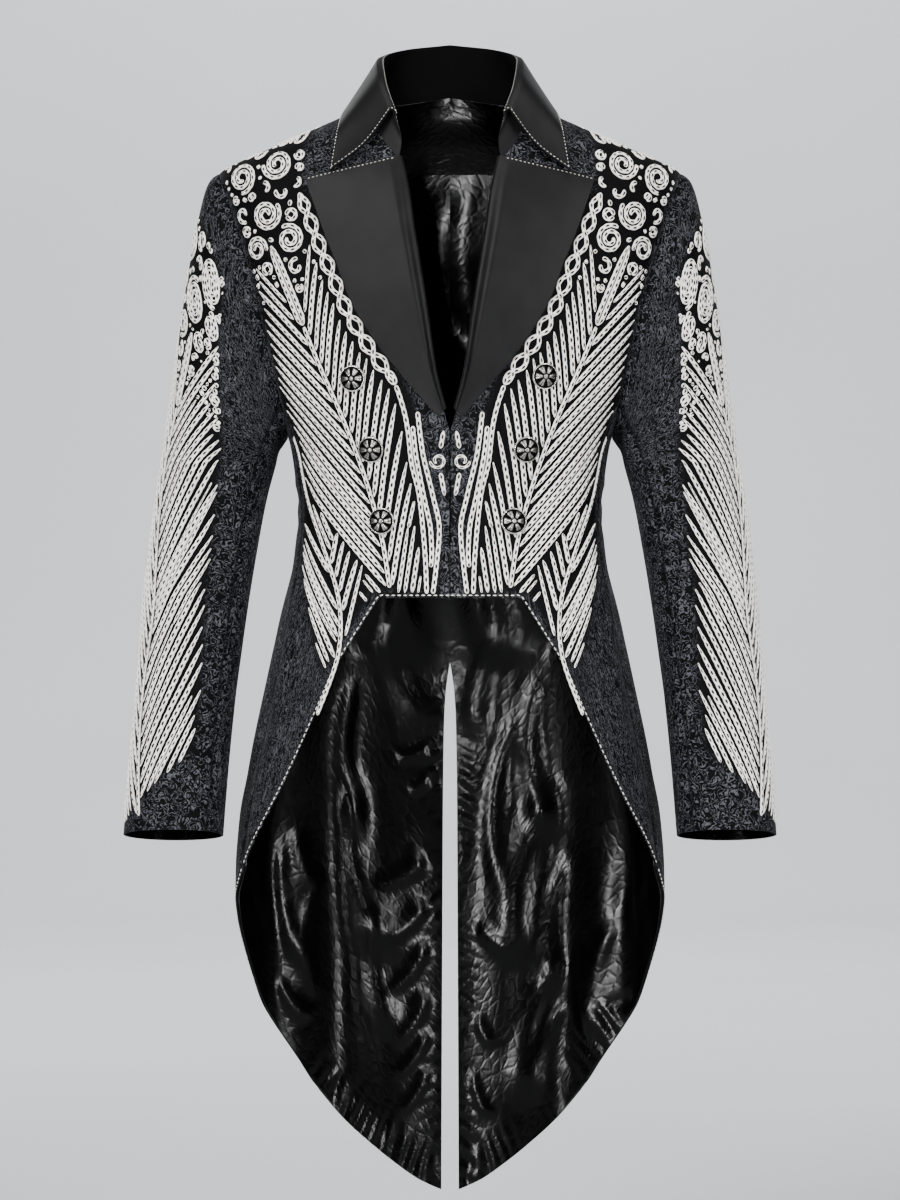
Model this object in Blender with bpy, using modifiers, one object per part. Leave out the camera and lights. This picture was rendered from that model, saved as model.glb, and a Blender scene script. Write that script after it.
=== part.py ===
"""A tailcoat, filled out as on a wearer, in the shell pieces it is cut and sewn from.

Frame: metres, +Z up, the front faces -Y and the wearer's left is at +X. The origin lies
midway between the two neck points, where the shoulder seams meet the collar.
The body is a general figure: a stack of superellipse sections. Each panel is a grid laid
on that figure between its own seams, and Solidify gives it its wall.
"""
import math

import bpy
import numpy as np
from mathutils import Vector
from mathutils.bvhtree import BVHTree

# ---------------------------------------------------------------- driving dimensions, metres
CLOTH = 0.0016              # wall of the outer cloth with its interlining
SATIN = 0.0010              # wall of the lining
SEAM = 0.0004               # gap between two pieces at a seam
POWER = 2.3                 # exponent of the superellipse sections
NECK_HALF = 0.075           # half width between the neck points
SHOULDER_TIP_X = 0.220
SHOULDER_TIP_Z = -0.0636
SHOULDER_SOFT = 0.020       # how far the shoulder's corner is rounded away from the ridge
CENTRE_HALF = 0.0006        # half the gap between the two front edges
NAPE_RISE = 0.016           # height of the neckline at the centre back
FLUTE_DEPTH = 0.0045        # height of the tails' soft flutes, fading out above the seat
FLUTE_TURN = 31.0           # degrees round the figure from one flute to the next
LAPEL_ROLL = 0.0026         # radius of the lapel's rolled edge
LAPEL_LIFT = 0.0042         # height of the lapel over the front, at its outer edge
SLEEVE_HEAD = 0.010         # how far the roped sleeve head stands out of the armhole
COLLAR_SWELL = (-0.0051, -0.0060, -0.0048)      # bulge of the fall's front edge at its middle
COLLAR_GAP = 0.0010         # height of the collar's seat over the neckline
LINING_GAP = 0.0005         # space between the back's cloth and its lining
SIDE_LINING_GAP = 0.0009    # the same at the side, where the figure is rounder
YOKE_DROP = 0.0015          # how far below the neck seam the lining's yoke starts
YOKE_SEAM = 0.0008          # half the gap left in the lining below the yoke
LINING_SHORT = 0.3          # share of a cell that the lining is short of the hem
SLEEVE_SET = 0.0006         # how far inside the armhole's seam the sleeve is set
BUTTON_SEAT = 0.0005        # space between the front's face and a button's shank
BUTTON_RADIUS = 0.0122

# height, half width, depth to the front, depth to the back
FIGURE = [
    (-0.0636, 0.2200, 0.0840, 0.0960),
    (-0.1000, 0.2165, 0.0960, 0.1080),
    (-0.1500, 0.2050, 0.1070, 0.1160),
    (-0.2000, 0.1925, 0.1150, 0.1180),
    (-0.2500, 0.1785, 0.1180, 0.1140),
    (-0.2900, 0.1640, 0.1160, 0.1060),
    (-0.3170, 0.1520, 0.1120, 0.0990),
    (-0.3550, 0.1460, 0.1050, 0.0910),
    (-0.3850, 0.1440, 0.1010, 0.0890),
    (-0.4310, 0.1475, 0.1020, 0.0950),
    (-0.4690, 0.1550, 0.1060, 0.1040),
    (-0.5070, 0.1630, 0.1100, 0.1120),
    (-0.5450, 0.1710, 0.1130, 0.1180),
    (-0.6020, 0.1830, 0.1160, 0.1230),
    (-0.6400, 0.1900, 0.1180, 0.1250),
    (-0.6780, 0.1975, 0.1190, 0.1265),
    (-0.7200, 0.2025, 0.1200, 0.1270),
    (-0.8000, 0.2035, 0.1200, 0.1270),
    (-1.0600, 0.2035, 0.1200, 0.1250),
]

# height, angle round the figure of the armhole's front and of its back (90 is the side)
ARMHOLE = [
    (-0.0636, 90.0, 90.0),
    (-0.0700, 82.0, 98.0),
    (-0.0820, 76.0, 104.0),
    (-0.1000, 71.5, 109.0),
    (-0.1300, 69.0, 112.5),
    (-0.1650, 67.2, 115.0),
    (-0.2000, 66.6, 116.0),
    (-0.2350, 67.2, 116.0),
    (-0.2680, 69.4, 113.5),
    (-0.2920, 74.0, 108.5),
    (-0.3080, 81.5, 100.0),
    (-0.3150, 90.0, 90.0),
]
FRONT_SEAM = 72.5           # angle of the seam between the front and the side

# height, angle of the seam between the side and the back
BACK_SEAM = [
    (-0.2400, 115.8),
    (-0.2800, 124.0),
    (-0.3200, 132.5),
    (-0.3700, 138.5),
    (-0.4200, 141.0),
    (-0.4690, 140.5),
    (-0.5800, 140.6),
    (-0.7000, 143.3),
    (-0.8200, 143.6),
    (-1.0600, 143.6),
]

# x, height, and -1 in front of the side or +1 behind it: the cut-away front and the tail
HEM = [
    (0.0660, -0.4670, -1),
    (0.0870, -0.5000, -1),
    (0.1075, -0.5340, -1),
    (0.1255, -0.5750, -1),
    (0.1430, -0.6142, -1),
    (0.1669, -0.6625, -1),
    (0.1844, -0.6961, -1),
    (0.1978, -0.7315, -1),
    (0.2034, -0.7560, 1),
    (0.2018, -0.7780, 1),
    (0.1988, -0.7970, 1),
    (0.1947, -0.8151, 1),
    (0.1886, -0.8354, 1),
    (0.1814, -0.8558, 1),
    (0.1711, -0.8760, 1),
    (0.1598, -0.8962, 1),
    (0.1474, -0.9165, 1),
    (0.1341, -0.9369, 1),
    (0.1186, -0.9568, 1),
    (0.1021, -0.9768, 1),
    (0.0807, -0.9969, 1),
    (0.0573, -1.0169, 1),
    (0.0299, -1.0366, 1),
    (0.0094, -1.0463, 1),
]

# x, height: the neckline in front, from the neck point to where the lapel starts
NECK_FRONT = [
    (0.0750, 0.0000),
    (0.0745, -0.0080),
    (0.0710, -0.0200),
    (0.0620, -0.0400),
    (0.0478, -0.0580),
]

# x, height: the lapel's roll line and its outer edge
ROLL_LINE = [
    (0.0478, -0.0580),
    (0.0413, -0.0878),
    (0.0360, -0.1240),
    (0.0315, -0.1520),
    (0.0240, -0.2000),
    (0.0150, -0.2600),
    (0.0040, -0.3000),
    (CENTRE_HALF, -0.3120),
]
LAPEL_EDGE = [
    (0.1335, -0.0775),
    (0.1225, -0.1085),
    (0.1130, -0.1345),
    (0.1030, -0.1590),
    (0.0915, -0.1900),
    (0.0660, -0.2330),
    (0.0405, -0.2650),
    (0.0105, -0.3000),
]

# height, half the gap of the centre-back vent
VENT = [
    (-0.5300, 0.0004),
    (-0.5600, 0.0044),
    (-0.5900, 0.0060),
    (-0.6700, 0.0071),
    (-1.0500, 0.0090),
]

# height, x and y of the arm's middle, half width across and half depth
ARM = [
    (-0.3400, 0.2195, -0.0040, 0.0538, 0.0590),
    (-0.3740, 0.2264, -0.0070, 0.0517, 0.0565),
    (-0.4200, 0.2335, -0.0130, 0.0503, 0.0545),
    (-0.4690, 0.2400, -0.0200, 0.0490, 0.0530),
    (-0.5160, 0.2448, -0.0280, 0.0475, 0.0515),
    (-0.5640, 0.2492, -0.0360, 0.0460, 0.0505),
    (-0.6120, 0.2535, -0.0440, 0.0459, 0.0500),
    (-0.6590, 0.2571, -0.0520, 0.0460, 0.0498),
    (-0.6890, 0.2590, -0.0570, 0.0459, 0.0490),
]
CUFF_TILT = 0.16            # fall of the cuff towards its back, per metre of depth

# place round the neck (0 centre back, 1 front end), then x, y, z of the collar's roll,
# x, y, z of its outer edge, and the roll's radius
COLLAR = [
    (0.00, 0.0000, 0.0880, 0.0690, 0.0000, 0.0940, 0.0020, 0.0035),
    (0.28, 0.0420, 0.0720, 0.0620, 0.0540, 0.0840, 0.0010, 0.0035),
    (0.52, 0.0660, 0.0160, 0.0465, 0.0975, 0.0080, -0.0030, 0.0038),
    (0.76, 0.0630, -0.0330, 0.0210, 0.1055, -0.0605, -0.0285, 0.0046),
    (1.00, 0.0530, -0.0660, -0.0115, 0.1124, -0.0885, -0.0700, 0.0058),
]

# name, x and height of each front button
BUTTONS = [
    ("button_top_right", -0.0890, -0.2640),
    ("button_middle_right", -0.0720, -0.3290),
    ("button_low_right", -0.0625, -0.3960),
    ("button_top_left", 0.0865, -0.2620),
    ("button_middle_left", 0.0695, -0.3290),
    ("button_low_left", 0.0580, -0.3960),
]

# name, colour, metallic, roughness
MATERIALS = {
    "worsted": ((0.012, 0.012, 0.014), 0.0, 0.85),
    "faille": ((0.020, 0.020, 0.023), 0.0, 0.55),
    "satin": ((0.006, 0.006, 0.007), 0.0, 0.25),
    "silver": ((0.32, 0.32, 0.31), 1.0, 0.38),
}


# ---------------------------------------------------------------- curves and the figure
def spline(knots, values, at):
    """Smooth curve through the knots that never overshoots between two of them."""
    x = np.asarray(knots, float)
    y = np.asarray(values, float)
    if x[0] > x[-1]:
        x = x[::-1]
        y = y[::-1]
    step = np.diff(x)
    rise = np.diff(y) / step
    slope = np.empty_like(x)
    slope[0] = rise[0]
    slope[-1] = rise[-1]
    same = rise[1:] * rise[:-1] > 0
    mean = 2.0 * rise[1:] * rise[:-1] / np.where(same, rise[1:] + rise[:-1], 1.0)
    slope[1:-1] = np.where(same, mean, 0.0)
    t = np.clip(np.asarray(at, float), x[0], x[-1])
    i = np.clip(np.searchsorted(x, t) - 1, 0, len(step) - 1)
    u = (t - x[i]) / step[i]
    return ((1 + 2 * u) * (1 - u) ** 2 * y[i] + u * (1 - u) ** 2 * step[i] * slope[i]
            + u * u * (3 - 2 * u) * y[i + 1] - u * u * (1 - u) * step[i] * slope[i + 1])


def half_width(angle, z):
    """Half width at a height; the corner at the shoulder tip is sharp only at the ridge."""
    figure = np.array(FIGURE)

    def sharp(height):
        slope = NECK_HALF + (SHOULDER_TIP_X - NECK_HALF) * np.clip(height / SHOULDER_TIP_Z, 0, 1)
        return np.where(height > SHOULDER_TIP_Z, slope, spline(figure[:, 0], figure[:, 1], height))

    away = np.clip(np.abs(angle - 90.0) / 40.0, 0.0, 1.0)
    reach = SHOULDER_SOFT * (0.25 + 0.75 * away * away * (3.0 - 2.0 * away))
    width = 0.0
    for shift in np.linspace(-1.0, 1.0, 9):
        width = width + sharp(z + shift * reach) / 9.0
    return width


def figure_point(angle, z):
    """Point of the figure at an angle (0 front, 90 side, 180 back) and a height."""
    angle = np.asarray(angle, float)
    z = np.asarray(z, float)
    figure = np.array(FIGURE)
    knots = np.concatenate([[0.05, 0.0, -0.03], figure[:, 0]])
    front = spline(knots, np.concatenate([[0.055, 0.057, 0.070], figure[:, 2]]), z)
    back = spline(knots, np.concatenate([[0.068, 0.072, 0.084], figure[:, 3]]), z)
    turn = np.radians(angle)
    across = np.abs(np.sin(turn)) ** (2.0 / POWER)
    deep = np.abs(np.cos(turn)) ** (2.0 / POWER)
    y = np.where(angle < 90.0, -front * deep, back * deep)
    x = half_width(angle, z) * across
    low = np.clip((-0.54 - z) / 0.28, 0.0, 1.0)
    behind = np.clip((angle - 98.0) / 30.0, 0.0, 1.0)
    wave = np.sin(np.radians((angle - 143.5) * 360.0 / FLUTE_TURN))
    swell = FLUTE_DEPTH / 0.127 * wave * low * low * (3.0 - 2.0 * low) * behind
    return np.stack([x * (1.0 + 0.3 * swell), y * (1.0 + swell), z + 0.0 * across], axis=-1)


def angle_at(x, z, side):
    """Angle at which the figure has this x: in front for side -1, behind for +1."""
    angle = np.full(np.shape(x), 60.0)
    for _ in range(12):
        ratio = np.clip(np.asarray(x) / half_width(angle, z), 0.0, 1.0)
        angle = np.degrees(np.arcsin(ratio ** (POWER / 2.0)))
    return np.where(np.asarray(side) > 0, 180.0 - angle, angle)


def resample(track, counts, corners):
    """Points of a track of (angle, z) at equal 3D steps, a count of them between corners."""
    track = np.asarray(track, float)
    out = [track[:1]]
    for count, (first, last) in zip(counts, zip(corners[:-1], corners[1:])):
        part = track[first:last + 1]
        reach = np.linalg.norm(np.diff(figure_point(part[:, 0], part[:, 1]), axis=0), axis=1)
        along = np.concatenate([[0.0], np.cumsum(reach)])
        t = np.linspace(0.0, along[-1], count + 1)[1:]
        out.append(np.stack([np.interp(t, along, part[:, 0]), np.interp(t, along, part[:, 1])], axis=1))
    return np.concatenate(out)


def fill(top, bottom, left, right, fade=1.0):
    """Grid of (angle, z) between four sides that share their corners.

    Each row is the straight line between its two ends, plus what the top and the bottom
    side depart from their own straight lines, which fades with the distance from them.
    """
    u = np.linspace(0.0, 1.0, len(top))[None, :, None]
    v = np.linspace(0.0, 1.0, len(left))[:, None, None]
    rows = (1 - u) * left[:, None] + u * right[:, None]
    bend_top = top[None] - ((1 - u) * top[0] + u * top[-1])
    bend_bottom = bottom[None] - ((1 - u) * bottom[0] + u * bottom[-1])
    return rows + (1 - v) ** fade * bend_top + v ** fade * bend_bottom


def inset(grid, gaps):
    """Moves the four edges of a point grid inward by (top, bottom, left, right) metres."""
    grid = grid.copy()
    top, bottom, left, right = gaps
    for edge, inner, gap in ((0, 1, top), (-1, -2, bottom)):
        way = grid[inner] - grid[edge]
        grid[edge] += gap * way / np.linalg.norm(way, axis=-1, keepdims=True)
    for edge, inner, gap in ((0, 1, left), (-1, -2, right)):
        way = grid[:, inner] - grid[:, edge]
        grid[:, edge] += gap * way / np.linalg.norm(way, axis=-1, keepdims=True)
    return grid


def figure_normal(angle, z):
    """Outward normal of the figure at an angle and a height."""
    angle = np.asarray(angle, float)
    step = np.where(angle > 90.0, -0.4, 0.4)
    round_ = (figure_point(angle + step, z) - figure_point(angle, z)) * np.sign(step)[..., None]
    down = figure_point(angle, z - 0.003) - figure_point(angle, z + 0.003)
    normal = np.cross(down, round_)
    return normal / np.linalg.norm(normal, axis=-1, keepdims=True)


# ---------------------------------------------------------------- seams, as (angle, z) tracks
def dense(table, columns, count=160):
    """A table's columns run through a smooth curve, one row per point."""
    rows = np.array(table, float)
    knots = np.linspace(0.0, 1.0, len(rows))
    t = np.linspace(0.0, 1.0, count)
    return np.stack([spline(knots, rows[:, c], t) for c in columns], axis=1)


def armhole_track():
    """Closed track of the armhole from the shoulder tip, down the front and up the back."""
    rows = np.array(ARMHOLE)
    front = dense(np.stack([rows[:, 1], rows[:, 0]], 1), (0, 1))
    back = dense(np.stack([rows[:, 2], rows[:, 0]], 1), (0, 1))
    return np.concatenate([front, back[::-1][1:]])


def back_seam_angle(z):
    rows = np.array(BACK_SEAM)
    return spline(rows[:, 0], rows[:, 1], z)


ARM_FRONT, ARM_UNDER, ARM_BACK = 9, 6, 9        # stations round the armhole
SEAM_ROWS, TAIL_ROWS = 14, 7                    # rows down the side seam and along the tail
FRONT_COLUMNS, BACK_COLUMNS = 10, 9
NECK_BACK, NECK_FORE = 6, 5                     # stations of the neckline, behind and in front
ROLL_ROWS = 14                                  # stations of the roll line

arm_track = armhole_track()
front_joint = int(np.argmin(np.abs(arm_track[:160, 0] - FRONT_SEAM) + 100 * (arm_track[:160, 1] > -0.25)))
back_joint = 160 + int(np.argmin(np.abs(arm_track[160:, 1] - BACK_SEAM[0][0])))
armhole = resample(arm_track, (ARM_FRONT, ARM_UNDER, ARM_BACK),
                   (0, front_joint, back_joint, len(arm_track) - 1))

hem_rows = np.array(HEM)
hem_map = np.stack([angle_at(hem_rows[:, 0], hem_rows[:, 1], hem_rows[:, 2]), hem_rows[:, 1]], 1)
hem_track = dense(hem_map, (0, 1), 400)
hem_front = int(np.argmin(np.abs(hem_track[:, 0] - FRONT_SEAM)))
hem_back = int(np.argmin(np.abs(hem_track[:, 0] - back_seam_angle(hem_track[:, 1]))))

seam_top = armhole[ARM_FRONT]
seam_end = hem_track[hem_front]
side_front = np.stack([np.linspace(seam_top[0], seam_end[0], SEAM_ROWS + 1),
                       np.linspace(seam_top[1], seam_end[1], SEAM_ROWS + 1)], 1)
tail_z = np.linspace(armhole[ARM_FRONT + ARM_UNDER][1], hem_track[hem_back][1], 240)
tail_track = np.stack([back_seam_angle(tail_z), tail_z], 1)
tail_track[0] = armhole[ARM_FRONT + ARM_UNDER]
tail_track[-1] = hem_track[hem_back]
side_back = resample(tail_track, (SEAM_ROWS + TAIL_ROWS,), (0, 239))


# ---------------------------------------------------------------- panel grids, on the wearer's left
def front_map():
    neck = dense(NECK_FRONT, (0, 1), 60)
    roll = dense(ROLL_LINE, (0, 1), 120)
    neck = np.stack([angle_at(neck[:, 0], neck[:, 1], -1), neck[:, 1]], 1)
    neck[0] = (90.0, 0.0)
    roll = np.stack([angle_at(roll[:, 0], roll[:, 1], -1), roll[:, 1]], 1)
    hem_z = HEM[0][1]
    centre_z = np.linspace(ROLL_LINE[-1][1], hem_z, 40)[1:]
    centre = np.stack([angle_at(np.full(39, CENTRE_HALF), centre_z, -1), centre_z], 1)
    edge = np.concatenate([neck, roll[1:], centre])
    rows = ARM_FRONT + SEAM_ROWS
    left = resample(edge, (NECK_FORE, ROLL_ROWS, rows - NECK_FORE - ROLL_ROWS), (0, 59, 178, len(edge) - 1))
    shoulder_z = np.linspace(0.0, SHOULDER_TIP_Z, FRONT_COLUMNS + 1)
    top = np.stack([np.full(FRONT_COLUMNS + 1, 90.0), shoulder_z], 1)
    waist_x = np.linspace(CENTRE_HALF, HEM[0][0], 40)
    waist = np.stack([angle_at(waist_x, np.full(40, hem_z), -1), np.full(40, hem_z)], 1)
    lower = np.concatenate([waist, hem_track[1:hem_front + 1]])
    bottom = resample(lower, (3, FRONT_COLUMNS - 3), (0, 39, len(lower) - 1))
    right = np.concatenate([armhole[:ARM_FRONT + 1], side_front[1:]])
    return fill(top, bottom, left, right)


def side_map():
    tail = resample(hem_track[hem_front:hem_back - 4], (TAIL_ROWS,), (0, hem_back - 5 - hem_front))
    left = np.concatenate([side_front, tail[1:]])
    top = armhole[ARM_FRONT:ARM_FRONT + ARM_UNDER + 1]
    bottom = np.linspace(left[-1], side_back[-1], ARM_UNDER + 1)
    return fill(top, bottom, left, side_back)


def back_map():
    """The back's grid runs from the side to the centre back."""
    rows = ARM_BACK + SEAM_ROWS + TAIL_ROWS
    round_ = armhole[::-1][:ARM_BACK + 1]
    left = np.concatenate([round_, side_back[1:]])
    seam = BACK_COLUMNS - NECK_BACK + 1
    shoulder = np.stack([np.full(seam, 90.0), np.linspace(SHOULDER_TIP_Z, 0.0, seam)], 1)
    turn = np.linspace(90.0, 180.0, NECK_BACK + 1)
    neck = np.stack([turn, NAPE_RISE * ((turn - 90.0) / 90.0) ** 1.5], 1)
    top = np.concatenate([shoulder, neck[1:]])
    vent = np.array(VENT)
    z = np.linspace(NAPE_RISE, HEM[-1][1], rows + 1)
    gap = np.where(z > vent[0, 0], vent[0, 1], spline(vent[:, 0], vent[:, 1], z))
    right = np.stack([angle_at(gap, z, 1), z], 1)
    bottom = resample(hem_track[hem_back:], (BACK_COLUMNS,), (0, len(hem_track) - 1 - hem_back))
    top[-1] = right[0]
    bottom[-1] = right[-1]
    return fill(top, bottom, left, right, 5.0)


def on_figure(grid):
    return figure_point(grid[..., 0], grid[..., 1])


def with_ridge_row(grid):
    """Adds a row close below the shoulder seam, so the wall's edge there stands square."""
    return np.insert(grid, 1, 0.86 * grid[0] + 0.14 * grid[1], axis=0)


back_plan = with_ridge_row(back_map())
side_plan = side_map()
front_plan = with_ridge_row(front_map())
front_grid = on_figure(front_plan)
side_grid = on_figure(side_plan)
back_grid = on_figure(back_plan)


def sleeve_grid():
    """Rows from the armhole to the cuff, a column for each station round the armhole."""
    ring = figure_point(armhole[:-1, 0], armhole[:-1, 1])
    stations = len(ring)
    turn = np.radians(np.arange(stations) * 360.0 / stations)
    top = 0.5 + 0.5 * np.cos(turn)
    tangent = np.roll(ring, -1, axis=0) - np.roll(ring, 1, axis=0)
    into = np.cross(tangent, figure_normal(armhole[:-1, 0], armhole[:-1, 1]))
    into /= np.linalg.norm(into, axis=1, keepdims=True)
    into *= np.sign((into * (ring.mean(axis=0) - ring)).sum(axis=1, keepdims=True))
    radial = ring - ring.mean(axis=0)
    radial[:, 0] = 0.0
    radial /= np.linalg.norm(radial, axis=1, keepdims=True)
    under = np.clip((0.42 - top) / 0.42, 0.0, 1.0)[:, None]
    under = under * under * (3.0 - 2.0 * under)
    out = np.array([1.0, 0.0, 0.0]) * (0.75 + 0.25 * top)[:, None] + radial * (0.10 + 0.22 * top)[:, None]
    out = out * (1.0 - under) + np.array([0.45, -0.05, -0.90]) * under
    out /= np.linalg.norm(out, axis=1, keepdims=True)
    reach = 0.005 + (SLEEVE_HEAD - 0.005) * top ** 0.8
    outside = figure_normal(armhole[:-1, 0], armhole[:-1, 1])
    start = ring + into * (SEAM + SLEEVE_SET + 0.0009 * top[:, None] ** 3)
    start = start + outside * (CLOTH + SEAM + 0.0002) * under
    head = start + out * reach[:, None] + np.array([0.0, 0.0, -1.0]) * (0.0002 + 0.002 * top)[:, None]

    arm = np.array(ARM)

    def section(z):
        cx, cy, rx, ry = (spline(arm[:, 0], arm[:, c], z) for c in range(1, 5))
        points = np.stack([cx + rx * np.cos(turn), cy - ry * np.sin(turn), z + 0.0 * turn], 1)
        return points

    upper = section(ARM[0][0])
    leave = np.array([0.16, -0.07, -0.98])
    chord = upper - head
    length = np.linalg.norm(chord, axis=1, keepdims=True)
    start_way = chord / length + np.array([0.10, 0.0, 0.0]) * top[:, None]
    rows = [start, head]
    for s in np.linspace(0.0, 1.0, 8)[1:]:
        rows.append((1 + 2 * s) * (1 - s) ** 2 * head + s * (1 - s) ** 2 * length * start_way
                    + s * s * (3 - 2 * s) * upper - s * s * (1 - s) * length * leave)
    for z in np.linspace(ARM[0][0], ARM[-1][0], 11)[1:]:
        points = section(z)
        share = (z - ARM[0][0]) / (ARM[-1][0] - ARM[0][0])
        points[:, 2] -= CUFF_TILT * share * (points[:, 1] - ARM[-1][2])
        rows.append(points)
    return np.stack(rows)


sleeve = sleeve_grid()
HIND, FORE = 17, 9                               # stations of the sleeve's two seams
top_sleeve = np.concatenate([sleeve[:, HIND:], sleeve[:, :FORE + 1]], axis=1)
under_sleeve = sleeve[:, FORE:HIND + 1]


def neckline():
    """The panels' own points round the neck, from the centre back to the lapel."""
    back = back_grid[0, ::-1][:NECK_BACK + 1].copy()
    back[0, 0] = 0.0
    return np.concatenate([back, front_grid[2:NECK_FORE + 2, 0]])


def collar_grid():
    """Sections of stand, roll and fall set round the neckline, from one front end to the other."""
    table = np.array(COLLAR)
    seat = neckline()
    reach = np.concatenate([[0.0], np.cumsum(np.linalg.norm(np.diff(seat, axis=0), axis=1))])
    share = np.concatenate([-reach[:0:-1], reach]) / reach[-1]
    seat = np.concatenate([seat[:0:-1], seat])
    s = np.abs(share)
    value = [spline(table[:, 0], table[:, c], s) for c in range(1, 8)]
    roll = np.stack(value[0:3], 1)
    edge = np.stack(value[3:6], 1)
    radius = value[6][:, None]
    up = roll - 0.5 * (seat + edge)
    up /= np.linalg.norm(up, axis=1, keepdims=True)
    way = edge - seat
    way -= (way * up).sum(axis=1, keepdims=True) * up
    way /= np.linalg.norm(way, axis=1, keepdims=True)
    lean = 0.0045 * s[:, None] ** 2
    seat = seat + up * COLLAR_GAP
    swell = np.array(COLLAR_SWELL) * np.clip((s[:, None] - 0.76) / 0.24, 0.0, 1.0) ** 2
    points = [
        seat,
        seat + (roll - seat) * 0.45 - way * (0.0010 + lean),
        roll - up * radius - way * radius * 0.95,
        roll - up * radius * 0.28 - way * radius * 0.62,
        roll,
        roll - up * radius * 0.28 + way * radius * 0.62,
        roll - up * radius + way * radius * 0.95 + swell * 0.35,
        roll + (edge - roll) * 0.52 + way * 0.0020 + swell,
        edge,
    ]
    profile = np.stack(points, axis=1)
    knots = np.arange(len(points))
    t = np.array([0.0, 0.6, 1.3, 2.0, 3.0, 4.0, 5.0, 6.0, 6.5, 7.0, 7.5, 8.0])
    grid = np.stack([np.stack([spline(knots, row[:, c], t) for c in range(3)], 1) for row in profile])
    grid[share < 0, :, 0] *= -1.0
    return grid


def lapel_grid():
    """A rolled edge at the roll line, then the cloth lying over the front to its outer edge."""
    rows = ROLL_ROWS
    plan = front_plan[NECK_FORE + 1:NECK_FORE + 1 + rows, 0]
    roll = figure_point(plan[:, 0], plan[:, 1])[:, (0, 2)]
    edge = dense(LAPEL_EDGE, (0, 1), 200)

    def spaced(points, count):
        reach = np.concatenate([[0.0], np.cumsum(np.linalg.norm(np.diff(points, axis=0), axis=1))])
        t = np.linspace(0.0, reach[-1], count)
        return np.stack([np.interp(t, reach, points[:, 0]), np.interp(t, reach, points[:, 1])], 1)

    edge = spaced(edge, rows)
    u = np.array([0.0, 0.10, 0.24, 0.40, 0.56, 0.72, 0.87, 1.0])
    flat = roll[:, None] + (edge - roll)[:, None] * u[None, :, None]
    angle = angle_at(flat[..., 0], flat[..., 1], -1)
    base = figure_point(angle, flat[..., 1])
    normal = figure_normal(angle, flat[..., 1])
    down = np.linspace(0.0, 1.0, rows)[:, None]
    swell = 0.0042 * np.sin(np.pi * np.clip(down * 1.02, 0, 1)) ** 0.5 * (1 - u)[None] ** 1.5
    lift = LAPEL_LIFT + 0.0016 + swell + (LAPEL_ROLL - 0.0016) * np.exp(-u[None] / 0.2)
    lift[:, 0] = 2 * LAPEL_ROLL
    lift[:, 1:] = np.maximum(lift[:, 1:], LAPEL_LIFT)
    sheet = base + normal * lift[..., None]
    way = base[:, 1] - base[:, 0]
    way /= np.linalg.norm(way, axis=-1, keepdims=True)
    curl = []
    for turn in np.radians([0.0, 45.0, 90.0, 135.0]):
        curl.append(base[:, 0] - way * (SEAM + LAPEL_ROLL * math.sin(turn))
                    + normal[:, 0] * LAPEL_ROLL * (1 - math.cos(turn)))
    sheet[:, 0] -= way * SEAM
    return np.concatenate([np.stack(curl, 1), sheet], axis=1)


# ---------------------------------------------------------------- objects
for old in list(bpy.data.objects):
    bpy.data.objects.remove(old, do_unlink=True)

collection = bpy.data.collections.new("tailcoat")
bpy.context.scene.collection.children.link(collection)


def material(name):
    """Principled material from the table, one for each object."""
    kind = name.split(".")[0]
    colour, metallic, roughness = MATERIALS[kind]
    made = bpy.data.materials.new(name)
    made.use_nodes = True
    shader = made.node_tree.nodes["Principled BSDF"]
    shader.inputs["Base Color"].default_value = (*colour, 1.0)
    shader.inputs["Metallic"].default_value = metallic
    shader.inputs["Roughness"].default_value = roughness
    made.diffuse_color = (*colour, 1.0)
    return made


def shell(name, grid, wall, kind, mirrored=False):
    """Object of a point grid (rows, columns) with a wall centred on it."""
    points = np.array(grid, float)
    if mirrored:
        points[..., 0] *= -1.0
        points = points[:, ::-1]
    rows, columns = points.shape[:2]
    faces = []
    for r in range(rows - 1):
        for c in range(columns - 1):
            a = r * columns + c
            faces.append((a, a + columns, a + columns + 1, a + 1))
    mesh = bpy.data.meshes.new(name)
    mesh.from_pydata(points.reshape(-1, 3).tolist(), [], faces)
    mesh.materials.append(material(kind + "." + name))
    mesh.shade_smooth()
    made = bpy.data.objects.new(name, mesh)
    collection.objects.link(made)
    solid = made.modifiers.new("wall", "SOLIDIFY")
    solid.thickness = wall
    solid.offset = 0.0
    solid.use_even_offset = True
    solid.use_rim = True
    return made


def lining_of(grid, gap=LINING_GAP):
    """The cloth's own points, moved in along its mean face normals by the walls and a gap."""
    face = np.cross(grid[1:, 1:] - grid[:-1, :-1], grid[:-1, 1:] - grid[1:, :-1])
    face /= np.linalg.norm(face, axis=-1, keepdims=True)
    total = np.zeros_like(grid)
    total[:-1, :-1] += face
    total[1:, :-1] += face
    total[:-1, 1:] += face
    total[1:, 1:] += face
    total /= np.linalg.norm(total, axis=-1, keepdims=True)
    return grid - total * (0.5 * CLOTH + 0.5 * SATIN + gap)


def shorten(grid, edges, share):
    """Draws the named edges of a grid in by a share of their cells."""
    grid = grid.copy()
    if "bottom" in edges:
        grid[-1] += share * (grid[-2] - grid[-1])
    if "top" in edges:
        grid[0] += share * (grid[1] - grid[0])
    if "left" in edges:
        grid[:, 0] += share * (grid[:, 1] - grid[:, 0])
    if "right" in edges:
        grid[:, -1] += share * (grid[:, -2] - grid[:, -1])
    return grid


half = 0.5 * SEAM
front_cut = inset(front_grid, (half, 0.0, 0.0, half))
side_cut = inset(side_grid, (half, 0.0, half, half))
back_cut = inset(back_grid, (half, 0.0, half, 0.0))
# the side's front edge below the seam is the hem itself
side_cut[SEAM_ROWS + 1:, 0] = side_grid[SEAM_ROWS + 1:, 0]

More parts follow.
